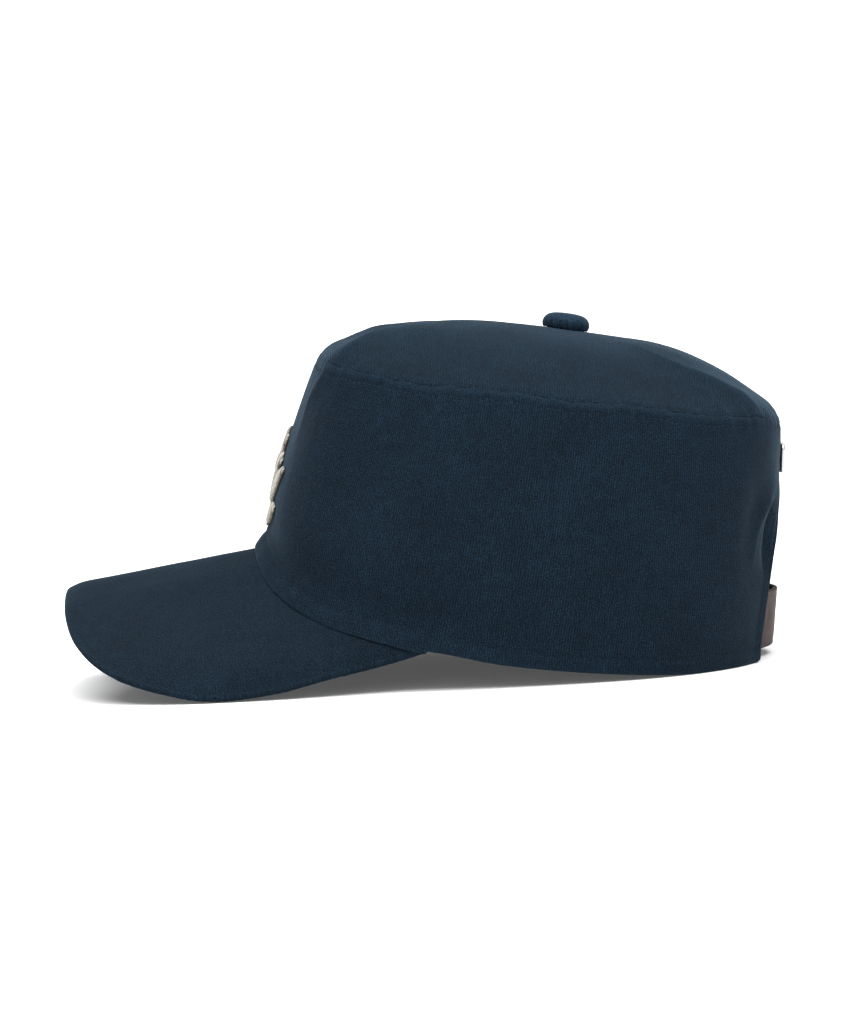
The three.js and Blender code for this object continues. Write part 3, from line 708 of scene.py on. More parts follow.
def wall_relief(angle, up, points):
    """How far the cloth stands off its smooth surface, and how much paler it is by the hem and
    seam.
    """
    tall = wall_point(angle, 1.0)[..., 2] - wall_point(angle, 0.0)[..., 2]
    from_seam = (1 - up) * tall
    from_arch = arch_distance(points)
    from_hem = np.minimum(up * tall, from_arch)
    seam_line = wall_point(angle, 1.0)
    hem_line = wall_point(angle, 0.0)
    inside = 1 - bell(np.minimum(from_seam / CALM, 1)) * 0.8
    inside *= 1 - bell(np.minimum(from_hem / CALM, 1)) * 0.7
    slow = dents(points, WALL_DENTS)
    drag = 0.22 * MM * lumps(points, 11 * MM, 1.3, (1, 1, 3)) * bell(from_seam / (38 * MM))
    gather = GATHER * lumps(seam_line, GATHER_SIZE, GATHER_SEED) * bell(from_seam / (10 * MM))
    gather = gather - shoulder(angle) * np.clip(1 - from_seam / SHOULDER_TALL, 0, 1) ** 2
    ruck = 0.2 * MM * lumps(hem_line, 6.5 * MM, 9.2) * bell(from_hem / (12 * MM))
    allowance = 0.3 * MM * bell(np.clip(from_seam - SEAM_STITCH, 0, None) / (3 * MM))
    turn_up = 0.3 * MM * bell(np.clip(from_hem - HEM_STITCH, 0, None) / (3 * MM))
    pressed = (0.38 * MM * groove(from_seam, SEAM_STITCH, 0.7 * MM)
               + 0.42 * MM * groove(from_hem, HEM_STITCH, 0.8 * MM))
    folds = 0
    for side in (1, -1):
        folds = folds + fold_height(points, wall_fold(CORNER_FOLD, side), 8 * MM)
        folds = folds + fold_height(points, wall_fold(ARCH_FOLD, side), 9 * MM)
        folds = folds - fold_height(points, wall_fold(ARCH_HOLLOW, side), 8 * MM)
    # over the peak the hem flares, and the cloth above its stitching stands off the head
    over_peak = np.clip(np.cos(angle) * 1.5 + 0.6, 0.15, 1)
    banded = np.clip(from_hem / HEM_BAND, 0, 1)
    pressed = pressed + over_peak * (HEM_HOLLOW * groove(from_hem, 10 * MM, 11 * MM) * banded
                                     - HEM_FLARE * (1 - banded))
    pressed = pressed + arch_curl(points[..., 0], points[..., 2], from_arch)
    relief = (slow + drag) * inside + gather + ruck + allowance + turn_up + folds - pressed
    wear_and_highlight = 0.35 * groove(from_hem, 0, 0.9 * MM) + 0.25 * groove(from_seam, 1 * MM, 1 * MM)
    return relief, wear_and_highlight, from_seam, from_hem


def wall_surface(rows, side):
    """Points of the wall's outer (side 1) or inner (side -1) face, and how much paler they are."""
    angle, up, points = wall_grid(rows)
    relief, wear_and_highlight, from_seam, from_hem = wall_relief(angle, up, points)
    from_hem[0] = 0  # both faces meet along the edge
    rolled = rounding(from_seam, 1.0 * MM, 1 * MM) + rounding(from_hem, 1.5 * MM, 1 * MM)
    rolled = np.minimum(rolled, 1 * MM)
    out = relief - rolled if side > 0 else relief - WALL_THICK + rolled
    points = wall_point(angle, up, out)
    lift = CORNER_LIFT * groove(np.abs(points[..., 0]), ARCH_HALF, CORNER_REACH)
    lift = lift * (points[..., 1] > 0.1) * np.clip(1 - points[..., 2] / (15 * MM), 0, 1) ** 2
    points[..., 2] += lift
    return points, wear_and_highlight


# %% Crown wall mesh
outer, wear_and_highlight = wall_surface(WALL_ROWS, 1)
around = lengths(wall_point(np.append(head_angle, head_angle[0] + 2 * math.pi), 0.5))
around *= round(around[-1] / RIB_PITCH) * RIB_PITCH / around[-1]  # whole ribs all the way round


def wall_uv(points):
    height = np.hstack([points[..., 2], points[:, :1, 2]])
    return np.stack([np.broadcast_to(around, height.shape), height], -1)


inner, inner_wear = wall_surface(INNER_ROWS, -1)
crown_wall_mesh = grid_mesh("crown_wall_cloth", [
    dict(points=outer, uv=wall_uv(outer), wear_and_highlight=wear_and_highlight, wrap_columns=True),
    dict(points=inner[::-1], uv=wall_uv(inner[::-1]), wear_and_highlight=inner_wear[::-1], wrap_columns=True)])
crown_wall = finish_mesh("crown_wall_cloth", crown_wall_mesh, wall_twill,
                         ["crown_wall"], weld=WELD)


def declare_sheet(piece, cut, area):
    """cut and area come from lines on the smooth surface, before its folds and puckers, so they
    show a torn or badly stretched mesh, but not whether the real cloth was cut to this size."""
    made = sum(polygon.area for polygon in piece.data.polygons) / 2
    print(piece.name, "is cut", [round(x, 4) for x in cut], "m, flat", round(area, 5),
          "m2, and one face of the mesh has", round(made, 5), "m2")


# the strip is as long as the band is round at mid height, and as tall as its tallest place
ring = np.linspace(0, 2 * math.pi, 1441)
ring_length = lengths(wall_point(ring, 0.5))
ring_tall = np.linalg.norm(wall_point(ring, 1.0) - wall_point(ring, 0.0), axis=-1)
band_area = float(((ring_tall[1:] + ring_tall[:-1]) / 2 * np.diff(ring_length)).sum())
arch_area = math.pi / 2 * ARCH_HALF * ARCH_HEIGHT
declare_sheet(crown_wall, (float(ring_length[-1]), float(ring_tall.max())), band_area - arch_area)

# %% [markdown]
# ## Crown top
# The top is a single oval of cloth, eased onto the wall so that it domes. Its rim dips into the
# seam, small gathers run in from the stitching, and two soft hips on each side lead to the
# corners. It is built as rings that shrink toward the middle, under the button.

# %% Points on the crown's top
TIP_RISE, TIP_THICK, TIP_LENGTH_POWER = 21.4 * MM, 1.8 * MM, 0.8
FULL_FRONT, FULL_SIDE, FULL_BACK = 1.95, 2.5, 2.9
# (turn from the front and spread in degrees, rise in mm, reach as a share of the way in)
HIPS = [(26, 22, 1.3, 0.6), (152, 22, 1.3, 0.7)]


def tip_point(angle, size):
    """size is 1 at the seam and 0 at the middle."""
    angle, size = np.broadcast_arrays(np.asarray(angle, float), np.asarray(size, float))
    rim_x, rim_y = oval(seam, angle)
    x, y = rim_x * size, mix(seam["widest"], rim_y, size ** TIP_LENGTH_POWER)
    c = np.cos(angle)
    full = mix(FULL_SIDE, np.where(c > 0, FULL_FRONT, FULL_BACK), c * c)
    rise = TIP_RISE * (1 - size ** full)
    for turn, spread, height, reach in HIPS:
        side = bell((np.arccos(np.clip(c, -1, 1)) - math.radians(turn)) / math.radians(spread))
        share = (1 - size) / reach
        rise = rise + height * MM * side * 4 * np.clip(share * (1 - share), 0, None)
    return np.stack([x, y, seam_height(y, angle, size) + 0.05 * MM + rise], -1)


# %% Crown top mesh
TIP_COLUMNS, TIP_RINGS, TIP_INNER_RINGS = 480, 90, 24
TIP_MIDDLE = 0.004  # the last ring, as a share of the rim
PLUMP = 1.2 * MM  # how far the top swells out over its front corner
# the fold over each corner: (turn in degrees, share out from the middle, mm high)
FRONT_FOLD = [(27, 1.0, 0.4), (27, 0.957, 1.2), (25.6, 0.853, 1.9), (22.7, 0.741, 1.5),
              (18.5, 0.646, 0.8), (14, 0.55, 0)]
BACK_FOLD = [(153, 1.0, 0.4), (152.5, 0.945, 1.5), (151.5, 0.9, 2.2), (149, 0.856, 2.2),
             (144.5, 0.761, 1.9), (142, 0.712, 1.5), (139, 0.62, 1.2), (139, 0.5, 0.6),
             (142, 0.32, 0)]
TIP_DENTS = [(0.6, 40, 11.0), (0.28, 17, 2.2)]  # (mm high, mm across, seed)
HIGHLIT_FOLD = 2.4 * MM  # a fold this high is painted fully pale along its ridge, a painted highlight


def tip_fold(rows, side):
    turn, size, height = np.array(rows, float).T
    return np.column_stack([tip_point(side * np.radians(turn), size), height * MM])


def tip_relief(angle, size, points):
    rim = tip_point(angle, 1.0)
    from_seam = np.linalg.norm((points - rim), axis=-1)
    inside = 1 - 0.85 * bell(np.minimum(from_seam / (16 * MM), 1))
    slow = dents(points, TIP_DENTS)
    gather = (GATHER * lumps(rim, GATHER_SIZE, GATHER_SEED)
              * bell(np.minimum(from_seam / (11 * MM), 1)))
    gather = gather - shoulder(angle) * np.clip(1 - from_seam / (7 * MM), 0, 1) ** 2
    cushion = 0.12 * MM * bell(np.minimum((from_seam - 2.2 * MM) / (2.6 * MM), 1))
    cushion = cushion + PLUMP * bell(turn_between(angle, 0) / 0.8) * bell((size - 0.9) / 0.12)
    folds = 0
    for side in (1, -1):
        folds = folds + fold_height(points, tip_fold(FRONT_FOLD, side), 13 * MM)
        folds = folds + fold_height(points, tip_fold(BACK_FOLD, side), 15 * MM)
    # the fold ridges are painted paler: a painted highlight
    wear_and_highlight = 0.6 * np.clip(folds / HIGHLIT_FOLD, 0, 1) ** 4
    return slow * inside + gather + cushion + folds, wear_and_highlight, from_seam


def tip_surface(rings, side):
    angle = (np.arange(TIP_COLUMNS) / TIP_COLUMNS * 2 * math.pi)[None, :]
    size = mix(1.0, TIP_MIDDLE, np.linspace(0, 1, rings)[:, None] ** 1.5)
    angle, size = np.broadcast_arrays(angle, size)
    base = tip_point(angle, size)
    normal = ring_normals(base)
    normal *= np.sign(normal[-1, :, 2].mean())
    # along the rim both faces move level and square to it, so that they meet
    along = np.roll(base[0], -1, axis=0) - np.roll(base[0], 1, axis=0)
    level = np.stack([along[:, 1], -along[:, 0], 0 * along[:, 0]], -1)
    level *= np.sign((level * base[0]).sum(-1, keepdims=True))
    normal[0] = level / np.linalg.norm(level, axis=-1, keepdims=True)
    relief, wear_and_highlight, from_seam = tip_relief(angle, size, base)
    rolled = rounding(from_seam, 0.8 * MM, TIP_THICK / 2)
    out = relief - rolled if side > 0 else relief - TIP_THICK + rolled
    return base + normal * out[..., None], wear_and_highlight


def plan_uv(points):
    wrapped = np.hstack([points, points[:, :1]])
    return np.concatenate([wrapped, wrapped[-1:]])[:, :, :2]


tip_outer, tip_ridge_highlight = tip_surface(TIP_RINGS, 1)
tip_inner, tip_inner_ridge_highlight = tip_surface(TIP_INNER_RINGS, -1)
tip_mesh = grid_mesh("crown_top_cloth", [
    dict(points=tip_outer, uv=plan_uv(tip_outer), wear_and_highlight=tip_ridge_highlight, wrap_columns=True),
    dict(points=tip_inner[::-1], uv=plan_uv(tip_inner[::-1]), wear_and_highlight=tip_inner_ridge_highlight[::-1],
         wrap_columns=True)])
# the two small rings in the middle are closed with a disc each
middle_ring = np.arange(TIP_COLUMNS) + (TIP_RINGS - 1) * TIP_COLUMNS
inner_ring = np.arange(TIP_COLUMNS) + TIP_RINGS * TIP_COLUMNS


def close_rings(mesh, rings):
    work = bmesh.new()
    work.from_mesh(mesh)
    work.verts.ensure_lookup_table()
    for ring in rings:
        work.faces.new([work.verts[i] for i in ring.tolist()])
    work.to_mesh(mesh)
    work.free()


close_rings(tip_mesh, [middle_ring, inner_ring[::-1]])
crown_top = finish_mesh("crown_top_cloth", tip_mesh, tip_twill, ["crown_top"],
                        weld=WELD)

# the oval is as wide and long as the top measured over its dome, through the middle
across, along = (sum(float(lengths(tip_point(turn, np.linspace(1, 0, 200)))[-1]) for turn in both)
                 for both in [(math.pi / 2, -math.pi / 2), (0.0, math.pi)])
declare_sheet(crown_top, (across, along), math.pi / 4 * across * along)

# %% [markdown]
# ## Peak
# A peak is a stiff board covered in cloth above and below. Many have rows of stitching along the
# free edge, but this one's cover is plain, so nothing is sewn or pressed into it. The board is
# swept over its arch as a grid from the joint to the free edge, with a rolled rim.

# %% Outline of the peak
PEAK_THICK, PEAK_TIP, PEAK_HALF = 3 * MM, peak_low[1], peak_high[0]
PEAK_WIDEST, PEAK_SQUARE = -52 * MM + MIDDLE, 3.1


def peak_edges(columns):
    """The joint's line under the wall and the free edge, from the right end to the left."""
    turn = np.linspace(-math.pi / 2, math.pi / 2, 1201)
    x, y = oval(hem, turn * 1.3)
    share = 1 - PEAK_MARGIN / np.hypot(x, y - hem["widest"])
    inner = np.stack([x * share, mix(hem["widest"], y, share)], -1)
    inner = inner[inner[:, 1] < PEAK_END]
    power = 2 / PEAK_SQUARE
    free_x = np.sign(turn) * PEAK_HALF * np.abs(np.sin(turn)) ** power
    free_y = PEAK_WIDEST - (PEAK_WIDEST - PEAK_TIP) * np.abs(np.cos(turn)) ** power
    end_x = inner[-1, 0] + PEAK_MARGIN - 0.5 * MM
    free = np.stack([np.r_[-end_x, free_x, end_x], np.r_[PEAK_END, free_y, PEAK_END]], -1)
    return resample(inner, columns), resample(free, columns)


def peak_normal(x, y):
    step = 0.01 * MM
    slope_x = (peak_rise(x + step, y) - peak_rise(x - step, y)) / (2 * step)
    normal = np.stack([-slope_x, np.full_like(slope_x, -PEAK_SLOPE), np.ones_like(slope_x)], -1)
    return normal / np.linalg.norm(normal, axis=-1, keepdims=True)


# %% Peak mesh
PEAK_COLUMNS, PEAK_ROWS, PEAK_UNDER_ROWS = 420, 90, 50
# how far the front edge bends down, and its reach across and back from the edge
DROOP, DROOP_WIDE, DROOP_DEEP = 2.0 * MM, 55 * MM, 9 * MM
TAIL_DROP, TAIL_Y, TAIL_LONG = 2.0 * MM, -17 * MM, 26 * MM  # and the same at its two tails
joint_line, free_line = peak_edges(PEAK_COLUMNS)
free_edge = np.stack([*free_line.T, peak_rise(*free_line.T) + PEAK_LIFT], -1)


def edge_distance(points, edge):
    """Distance from each point to the nearest of an edge line's points."""
    flat = points.reshape(-1, 3)
    found = [np.linalg.norm(part[:, None] - edge[None], axis=-1).min(1)
             for part in np.array_split(flat, 80)]
    return np.concatenate(found).reshape(points.shape[:-1])


def peak_surface(rows, side):
    """Points of the peak's upper (side 1) or lower (side -1) face, and how much paler they are."""
    share = np.sin(np.linspace(0, math.pi / 2, rows))[:, None]
    x = mix(joint_line[:, 0], free_line[:, 0], share)
    y = mix(joint_line[:, 1], free_line[:, 1], share)
    base = np.stack([x, y, peak_rise(x, y) + PEAK_LIFT], -1)
    from_edge = edge_distance(base, resample(free_edge, 1600))
    fade = 1 - bell(np.minimum(from_edge / (5 * MM), 1))
    relief = 0.35 * MM * lumps(base, 38 * MM, 4.0) * fade
    relief += 0.1 * MM * lumps(base, 12 * MM, 8.0) * fade
    rolled = rounding(from_edge, PEAK_THICK / 2, PEAK_THICK / 2)
    droop = (DROOP * bell(np.minimum(np.abs(x) / DROOP_WIDE, 1))
             * np.clip(1 - from_edge / DROOP_DEEP, 0, 1) ** 2)
    tail = TAIL_DROP * bell(np.minimum(np.abs(y - TAIL_Y) / TAIL_LONG, 1)) * share ** 2
    away = relief - rolled if side > 0 else -PEAK_THICK + rolled + 0.4 * relief
    away = away - droop - tail
    wear_and_highlight = 0.15 * groove(from_edge, 1.0 * MM, 1.2 * MM)
    return base + peak_normal(x, y) * away[..., None], wear_and_highlight


def arch_uv(points):
    """Cloth coordinates on the peak: length over the arch, and length along the ridge."""
    steps = np.linspace(0, 90 * MM, 400)
    over = lengths(np.stack([steps, table(PEAK_ARCH, steps / MM) * MM], -1))
    across = np.sign(points[..., 0]) * np.interp(np.abs(points[..., 0]), steps, over)
    flat = np.stack([across, points[..., 1]], -1)
    flat = np.concatenate([flat, flat[-1:]])
    return np.hstack([flat, flat[:, -1:]])


upper, upper_wear = peak_surface(PEAK_ROWS, 1)
lower, lower_wear = peak_surface(PEAK_UNDER_ROWS, -1)
peak_points = np.concatenate([upper, lower[::-1]])
peak_mesh = grid_mesh("peak_cloth", [
    dict(points=peak_points, uv=arch_uv(peak_points),
         wear_and_highlight=np.concatenate([upper_wear, lower_wear[::-1]]), wrap_rows=True)])


def end_caps(points):
    """The two ends of an open grid of closed sections, as rings of vertex numbers."""
    rows, columns = points.shape[:2]
    first = np.arange(rows) * columns
    return [first[::-1], first + columns - 1]


close_rings(peak_mesh, end_caps(peak_points))
peak = finish_mesh("peak_cloth", peak_mesh, peak_twill, ["peak"], weld=WELD)

# %% [markdown]
# ## Button
# The button is a domed metal form with a disc of the same twill drawn over it and gathered
# underneath. The cloth strains into short radial pleats near the rim, so a lathed outline is
# given pleats that fade toward the crown of the dome.

# %% Button
BUTTON_RADIUS, BUTTON_HEIGHT, BUTTON_Y = 9 * MM, 6.8 * MM, 60.5 * MM + MIDDLE
# (share of the radius, share of the height) from the middle of the base to the top
BUTTON_OUTLINE = [(0.02, 0.0), (0.6, 0.0), (0.86, 0.02), (0.95, 0.12), (1.0, 0.3), (1.0, 0.45),
                  (0.96, 0.62), (0.86, 0.79), (0.7, 0.91), (0.5, 0.97), (0.25, 1.0), (0.02, 1.0)]


def smooth_line(points, count):
    """A smooth curve through points, evenly spaced along its length (Catmull-Rom)."""
    points = np.array(points, float)
    padded = np.vstack([2 * points[0] - points[1], points, 2 * points[-1] - points[-2]])
    t = np.linspace(0, 1, 24, endpoint=False)[:, None]
    spans = [0.5 * (2 * b + (c - a) * t + (2 * a - 5 * b + 4 * c - d) * t ** 2
                    + (3 * b - a - 3 * c + d) * t ** 3)
             for a, b, c, d in zip(padded, padded[1:], padded[2:], padded[3:])]
    return resample(np.vstack([*spans, points[-1:]]), count)


def button_seat():
    """Where the button sits on the top, and the top's normal there."""
    reach = abs(oval(seam, math.pi)[1] - seam["widest"])
    size = (abs(BUTTON_Y - seam["widest"]) / reach) ** (1 / TIP_LENGTH_POWER)
    step = 1e-3
    around = tip_point(math.pi + step, size) - tip_point(math.pi - step, size)
    inward = tip_point(math.pi, size - step) - tip_point(math.pi, size + step)
    normal = np.cross(around, inward)
    return tip_point(math.pi, size), normal / np.linalg.norm(normal)


seat, seat_normal = button_seat()
outline = smooth_line(BUTTON_OUTLINE, 44)
turns = np.linspace(0, 2 * math.pi, 128, endpoint=False)
rim = groove(outline[:, 1], 0.3, 0.4) * (outline[:, 0] > 0.3)
pleats = 0.28 * MM * rim[:, None] * lumps(np.stack([np.cos(turns), np.sin(turns), 0 * turns], -1),
                                          0.19, 3.3)
radius = outline[:, :1] * BUTTON_RADIUS + pleats
button_points = np.stack([radius * np.cos(turns), radius * np.sin(turns),
                          np.broadcast_to(outline[:, 1:] * BUTTON_HEIGHT, radius.shape)], -1)
stand = np.array(Vector((0, 0, 1)).rotation_difference(Vector(seat_normal)).to_matrix())
button_points = button_points @ stand.T + seat


def rest_on(points, piece, clearance):
    """Lifts the points that would sink into a piece under them to just above it."""
    tree = BVHTree.FromPolygons([v.co for v in piece.data.vertices],
                                [polygon.vertices for polygon in piece.data.polygons])
    flat = points.reshape(-1, 3).copy()
    for point in flat:
        hit = tree.ray_cast(Vector((point[0], point[1], 0.5)), Vector((0, 0, -1)))[0]
        if hit is not None:
            point[2] = max(point[2], hit.z + clearance)
    return flat.reshape(points.shape)


SEAT_SINK = 0.6 * MM
sunk = button_points - [0, 0, SEAT_SINK]
button_points = rest_on(sunk, crown_top, 0.1 * MM)
lifted = button_points[..., 2] - sunk[..., 2]
print("the button is let down", SEAT_SINK / MM, "mm, and", int((lifted > 0).sum()),
      "of its points rest on the top, lifted up to", round(float(lifted.max()) / MM, 2), "mm")
# the cloth is paler in a band round the upper shoulder of the dome
button_mesh = grid_mesh("button_cloth", [
    dict(points=button_points, uv=plan_uv(button_points), wrap_columns=True,
         wear_and_highlight=np.broadcast_to(0.25 * groove(outline[:, 1:], 0.75, 0.2), radius.shape))])
ring = np.arange(len(turns))
close_rings(button_mesh, [ring[::-1], ring + (len(outline) - 1) * len(turns)])
# the same twill with its colours painted 1.9 times lighter: painted light on the button's dome
button_twill = new_material("navy_twill_on_the_button_painted_lighter", lambda tree: twill_paint(
    tree, 90.0, 0.4, rib_gap_shade=0.2, gain=1.9, sheen=0.4))
button = finish_mesh("button_cloth", button_mesh, button_twill, ["button"])

# %% [markdown]
# ## Leather strap
# The strap that closes the back arch is one band of brown vegetable-tanned leather, with its
# edges rounded and burnished dark and a crease line pressed in beside each. Leather is stiff
# enough to keep one smooth bow, so a section is swept along the wall's curve.

# %% Leather
def leather_paint(tree):
    place = add(tree, "TexCoord").outputs["UV"]
    pores = add(tree, "TexVoronoi", {"Vector": place, "Scale": 1 / (0.9 * MM)},
                feature="DISTANCE_TO_EDGE")
    grain = add(tree, "MapRange", {0: pores.outputs["Distance"], 3: 0.0, 4: 1.6})
    stain = add(tree, "TexNoise", {"Vector": place, "Scale": 1 / (7 * MM), "Detail": 5.0})
    burnish = add(tree, "Attribute", attribute_name="wear_and_highlight").outputs["Fac"]
    stained = add(tree, "MapRange", {0: stain.outputs[0], 3: -0.3, 4: 1.3})
    base = add(tree, "Mix", {0: stained.outputs[0], 6: linear("342118"), 7: linear("21140e")},
               data_type="RGBA")
    colour = add(tree, "Mix", {0: burnish, 6: base.outputs[2], 7: linear("1a110c")},
                 data_type="RGBA")
    rough = add(tree, "MapRange", {0: stain.outputs[0], 3: 0.42, 4: 0.66})
    bump = add(tree, "Bump", {"Height": grain.outputs[0], "Strength": 0.35,
                              "Distance": 0.12 * MM})
    return add(tree, "BsdfPrincipled", {
        "Base Color": colour.outputs[2], "Roughness": rough.outputs[0], "IOR": 1.5,
        "Specular IOR Level": 0.14, "Normal": bump.outputs[0]})


def wall_skin(angle, up, out=0.0):
    """A point of the finished outer face of the wall's cloth, and the level normal there."""
    relief, _, _, _ = wall_relief(angle, up, wall_point(angle, up))
    normal_x, normal_y = wall_normal(angle, up)
    return (wall_point(angle, up, out + relief),
            np.stack([normal_x, normal_y, np.zeros_like(normal_x)], -1))


# %% Strap
strap_low, strap_high = (np.array(corner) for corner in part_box("strap"))
STRAP_THICK, STRAP_REACH, STRAP_BOW, STRAP_BOW_REACH = 1.8 * MM, 50 * MM, 4.6 * MM, 28 * MM
EDGE_ROUND, CREASE_IN, CREASE_DEEP = 0.75 * MM, 2 * MM, 0.16 * MM


def on_strap(x, out, z):
    """A point by its place along the strap, its distance out from the outer face and height."""
    angle, up = on_wall("back", x, z)
    bow = STRAP_BOW * bell(x / STRAP_BOW_REACH)
    opening = ARCH_HALF * np.sqrt(np.clip(1 - (z / ARCH_HEIGHT) ** 2, 0, 1))
    curl = arch_curl(x, z, np.clip(x - opening, 0, None)) * np.clip(x / opening, 0, 1) ** 2
    curl = np.maximum(curl, 0)
    return wall_point(angle, up, out + bow - curl - WALL_THICK - GAP)


def rounded_band(height, thick, corner, face_points=44, corner_points=7):
    """The section (z, out) of a flat band with rounded edges, from its middle: a closed line."""
    quarter = np.linspace(0, math.pi / 2, corner_points)
    half_z, half_out = height / 2 - corner, thick / 2 - corner
    line = []
    for side_z, side_out, flip in [(1, 1, True), (1, -1, False), (-1, -1, True), (-1, 1, False)]:
        turn = quarter[::-1] if flip else quarter
        line.append(np.stack([side_z * (half_z + corner * np.cos(turn)),
                              side_out * (half_out + corner * np.sin(turn))], -1))
    flat = np.linspace(-half_z, half_z, face_points)[1:-1]
    face = np.stack([flat, np.full_like(flat, thick / 2)], -1)
    back = np.stack([flat[::-1], np.full_like(flat, -thick / 2)], -1)
    return np.vstack([face, line[0], line[1], back, line[2], line[3]])


strap_height = strap_high[2] - strap_low[2]
section = rounded_band(strap_height, STRAP_THICK, EDGE_ROUND)
x = np.linspace(-STRAP_REACH, STRAP_REACH, 200)[None, :]
z = strap_low[2] + strap_height / 2 + section[:, :1]
from_rim = strap_height / 2 - np.abs(section[:, :1])
crease = CREASE_DEEP * groove(from_rim, CREASE_IN, 0.35 * MM) * (section[:, 1:] > 0)
swell = 0.12 * MM * lumps(np.stack(np.broadcast_arrays(x, 0 * x, z), -1), 14 * MM, 6.0)
strap_points = on_strap(x, section[:, 1:] - STRAP_THICK / 2 - crease + swell, z)
burnished = np.maximum(groove(from_rim, 0, 0.9 * MM), crease / CREASE_DEEP * 0.5)
burnished = np.broadcast_to(burnished, swell.shape)
strap_uv = np.stack(np.broadcast_arrays(x, lengths(section)[:, None]), -1)
strap_uv = np.concatenate([strap_uv, strap_uv[-1:]])
strap_uv = np.hstack([strap_uv, strap_uv[:, -1:]])
strap_mesh = grid_mesh("leather_strap", [dict(points=strap_points, uv=strap_uv, wear_and_highlight=burnished,
                                              wrap_rows=True)])
close_rings(strap_mesh, end_caps(strap_points))
leather = new_material("brown_tanned_leather", leather_paint)
strap = finish_mesh("leather_strap", strap_mesh, leather, ["strap"])

# %% [markdown]
# ## Steel slide and plate
# The slide that the strap runs through and the blank plate above the arch are polished steel,
# with fine polishing lines in the roughness. The plate's rolled rim holds a highlight. The slide's
# edges stay sharp, because their rounding comes out with almost no width: see with_round_edges.

# %% Polished steel
def steel_paint(tree):
    place = add(tree, "TexCoord").outputs["Object"]
    stretched = add(tree, "Mapping", {"Vector": place, "Scale": (400.0, 4000.0, 9000.0)})
    lines = add(tree, "TexNoise", {"Vector": stretched.outputs[0], "Scale": 1.0, "Detail": 3.0})
    smears = add(tree, "TexNoise", {"Vector": place, "Scale": 1 / (6 * MM), "Detail": 3.0})
    bump = add(tree, "Bump", {"Height": lines.outputs[0], "Strength": 0.12, "Distance": 0.02 * MM})
    colour = add(tree, "Mix", {0: smears.outputs[0], 6: linear("c9cacb"), 7: linear("b2b3b4")},
                 data_type="RGBA")
    rough = add(tree, "MapRange", {0: lines.outputs[0], 3: 0.16, 4: 0.34})
    return add(tree, "BsdfPrincipled", {
        "Base Color": colour.outputs[2], "Metallic": 1.0, "Roughness": rough.outputs[0],
        "Normal": bump.outputs[0]})


steel = new_material("polished_steel", steel_paint)

# %% Slide buckle
BUCKLE_EDGE, SHARP_TURN, FLAT_TURN = 0.42 * MM, math.radians(35), math.radians(1)


def with_round_edges(node, name, width):
    """A copy of a hard solid, welded, with a bevel set along its sharp edges.

    On the slide the bevel has almost no width: clamp_overlap keeps all of it as narrow as the
    shortest edges allow, and some are under 0.01 mm. So the edges stay sharp, and most of the
    faces have no area.
    """
    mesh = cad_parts[node].data.copy()
    mesh.name = name
    mesh.materials.clear()
    work = bmesh.new()
    work.from_mesh(mesh)
    bmesh.ops.remove_doubles(work, verts=work.verts, dist=WELD)
    bmesh.ops.dissolve_limit(work, angle_limit=FLAT_TURN, verts=work.verts, edges=work.edges)
    sharp = [edge for edge in work.edges
             if len(edge.link_faces) == 2 and edge.calc_face_angle() > SHARP_TURN]
    bmesh.ops.bevel(work, geom=sharp, offset=width, segments=4, affect="EDGES", profile=0.5,
                    clamp_overlap=True)
    bmesh.ops.triangulate(work, faces=work.faces)
    work.to_mesh(mesh)
    work.free()
    return mesh


buckle = finish_mesh("slide_buckle", with_round_edges("strap_buckle", "slide_buckle", BUCKLE_EDGE),
                     steel, ["strap_buckle"])

# %% Blank plate above the arch
PLATE_Z, PLATE_WIDTH, PLATE_HEIGHT, PLATE_CORNER, PLATE_METAL = (
    75 * MM, 24 * MM, 11 * MM, 2.5 * MM, 1.6 * MM)
# (mm in from the rim, height of the metal as a share), from the back over to the front
PLATE_ROWS = [(5.4, 0), (0.25, 0), (0.06, 0.04), (0, 0.14), (0, 0.6), (0.08, 0.78), (0.3, 0.93),
              (0.6, 1), (1.4, 1), (1.62, 0.96), (1.78, 0.84), (1.95, 0.76), (2.2, 0.74),
              (5.4, 0.74)]
turn = np.linspace(0, 2 * math.pi, 192, endpoint=False) + math.pi / 192
corner_x, corner_z = np.sign(np.cos(turn)), np.sign(np.sin(turn))
rim_x = corner_x * (PLATE_WIDTH / 2 - PLATE_CORNER) + PLATE_CORNER * np.cos(turn)
rim_z = corner_z * (PLATE_HEIGHT / 2 - PLATE_CORNER) + PLATE_CORNER * np.sin(turn)
inset, metal = np.array(PLATE_ROWS).T[:, :, None]
shrink = 1 - 2 * inset * MM / PLATE_HEIGHT
angle, up = on_wall("back", rim_x * shrink, PLATE_Z + rim_z * shrink)
plate_points = wall_point(angle, up, GAP + metal * PLATE_METAL)
plate_mesh = grid_mesh("back_plate_steel", [
    dict(points=plate_points, uv=plan_uv(plate_points), wrap_columns=True)])
ring = np.arange(len(turn))
close_rings(plate_mesh, [ring[::-1], ring + (len(PLATE_ROWS) - 1) * len(turn)])
back_plate = finish_mesh("back_plate_steel", plate_mesh, steel, ["back_plate"])

# %% [markdown]
# ## Embroidered emblem
# The emblem is a flower over two pairs of leaves in satin stitch: threads laid side by side from
# one edge of a shape to the other, over a felt pad that raises them. The pad is dark and a little
# wider than the satin, so its rim is a painted shadow along the emblem's edges. Each thread is
# real geometry, because the light running along them is what makes satin stitch.

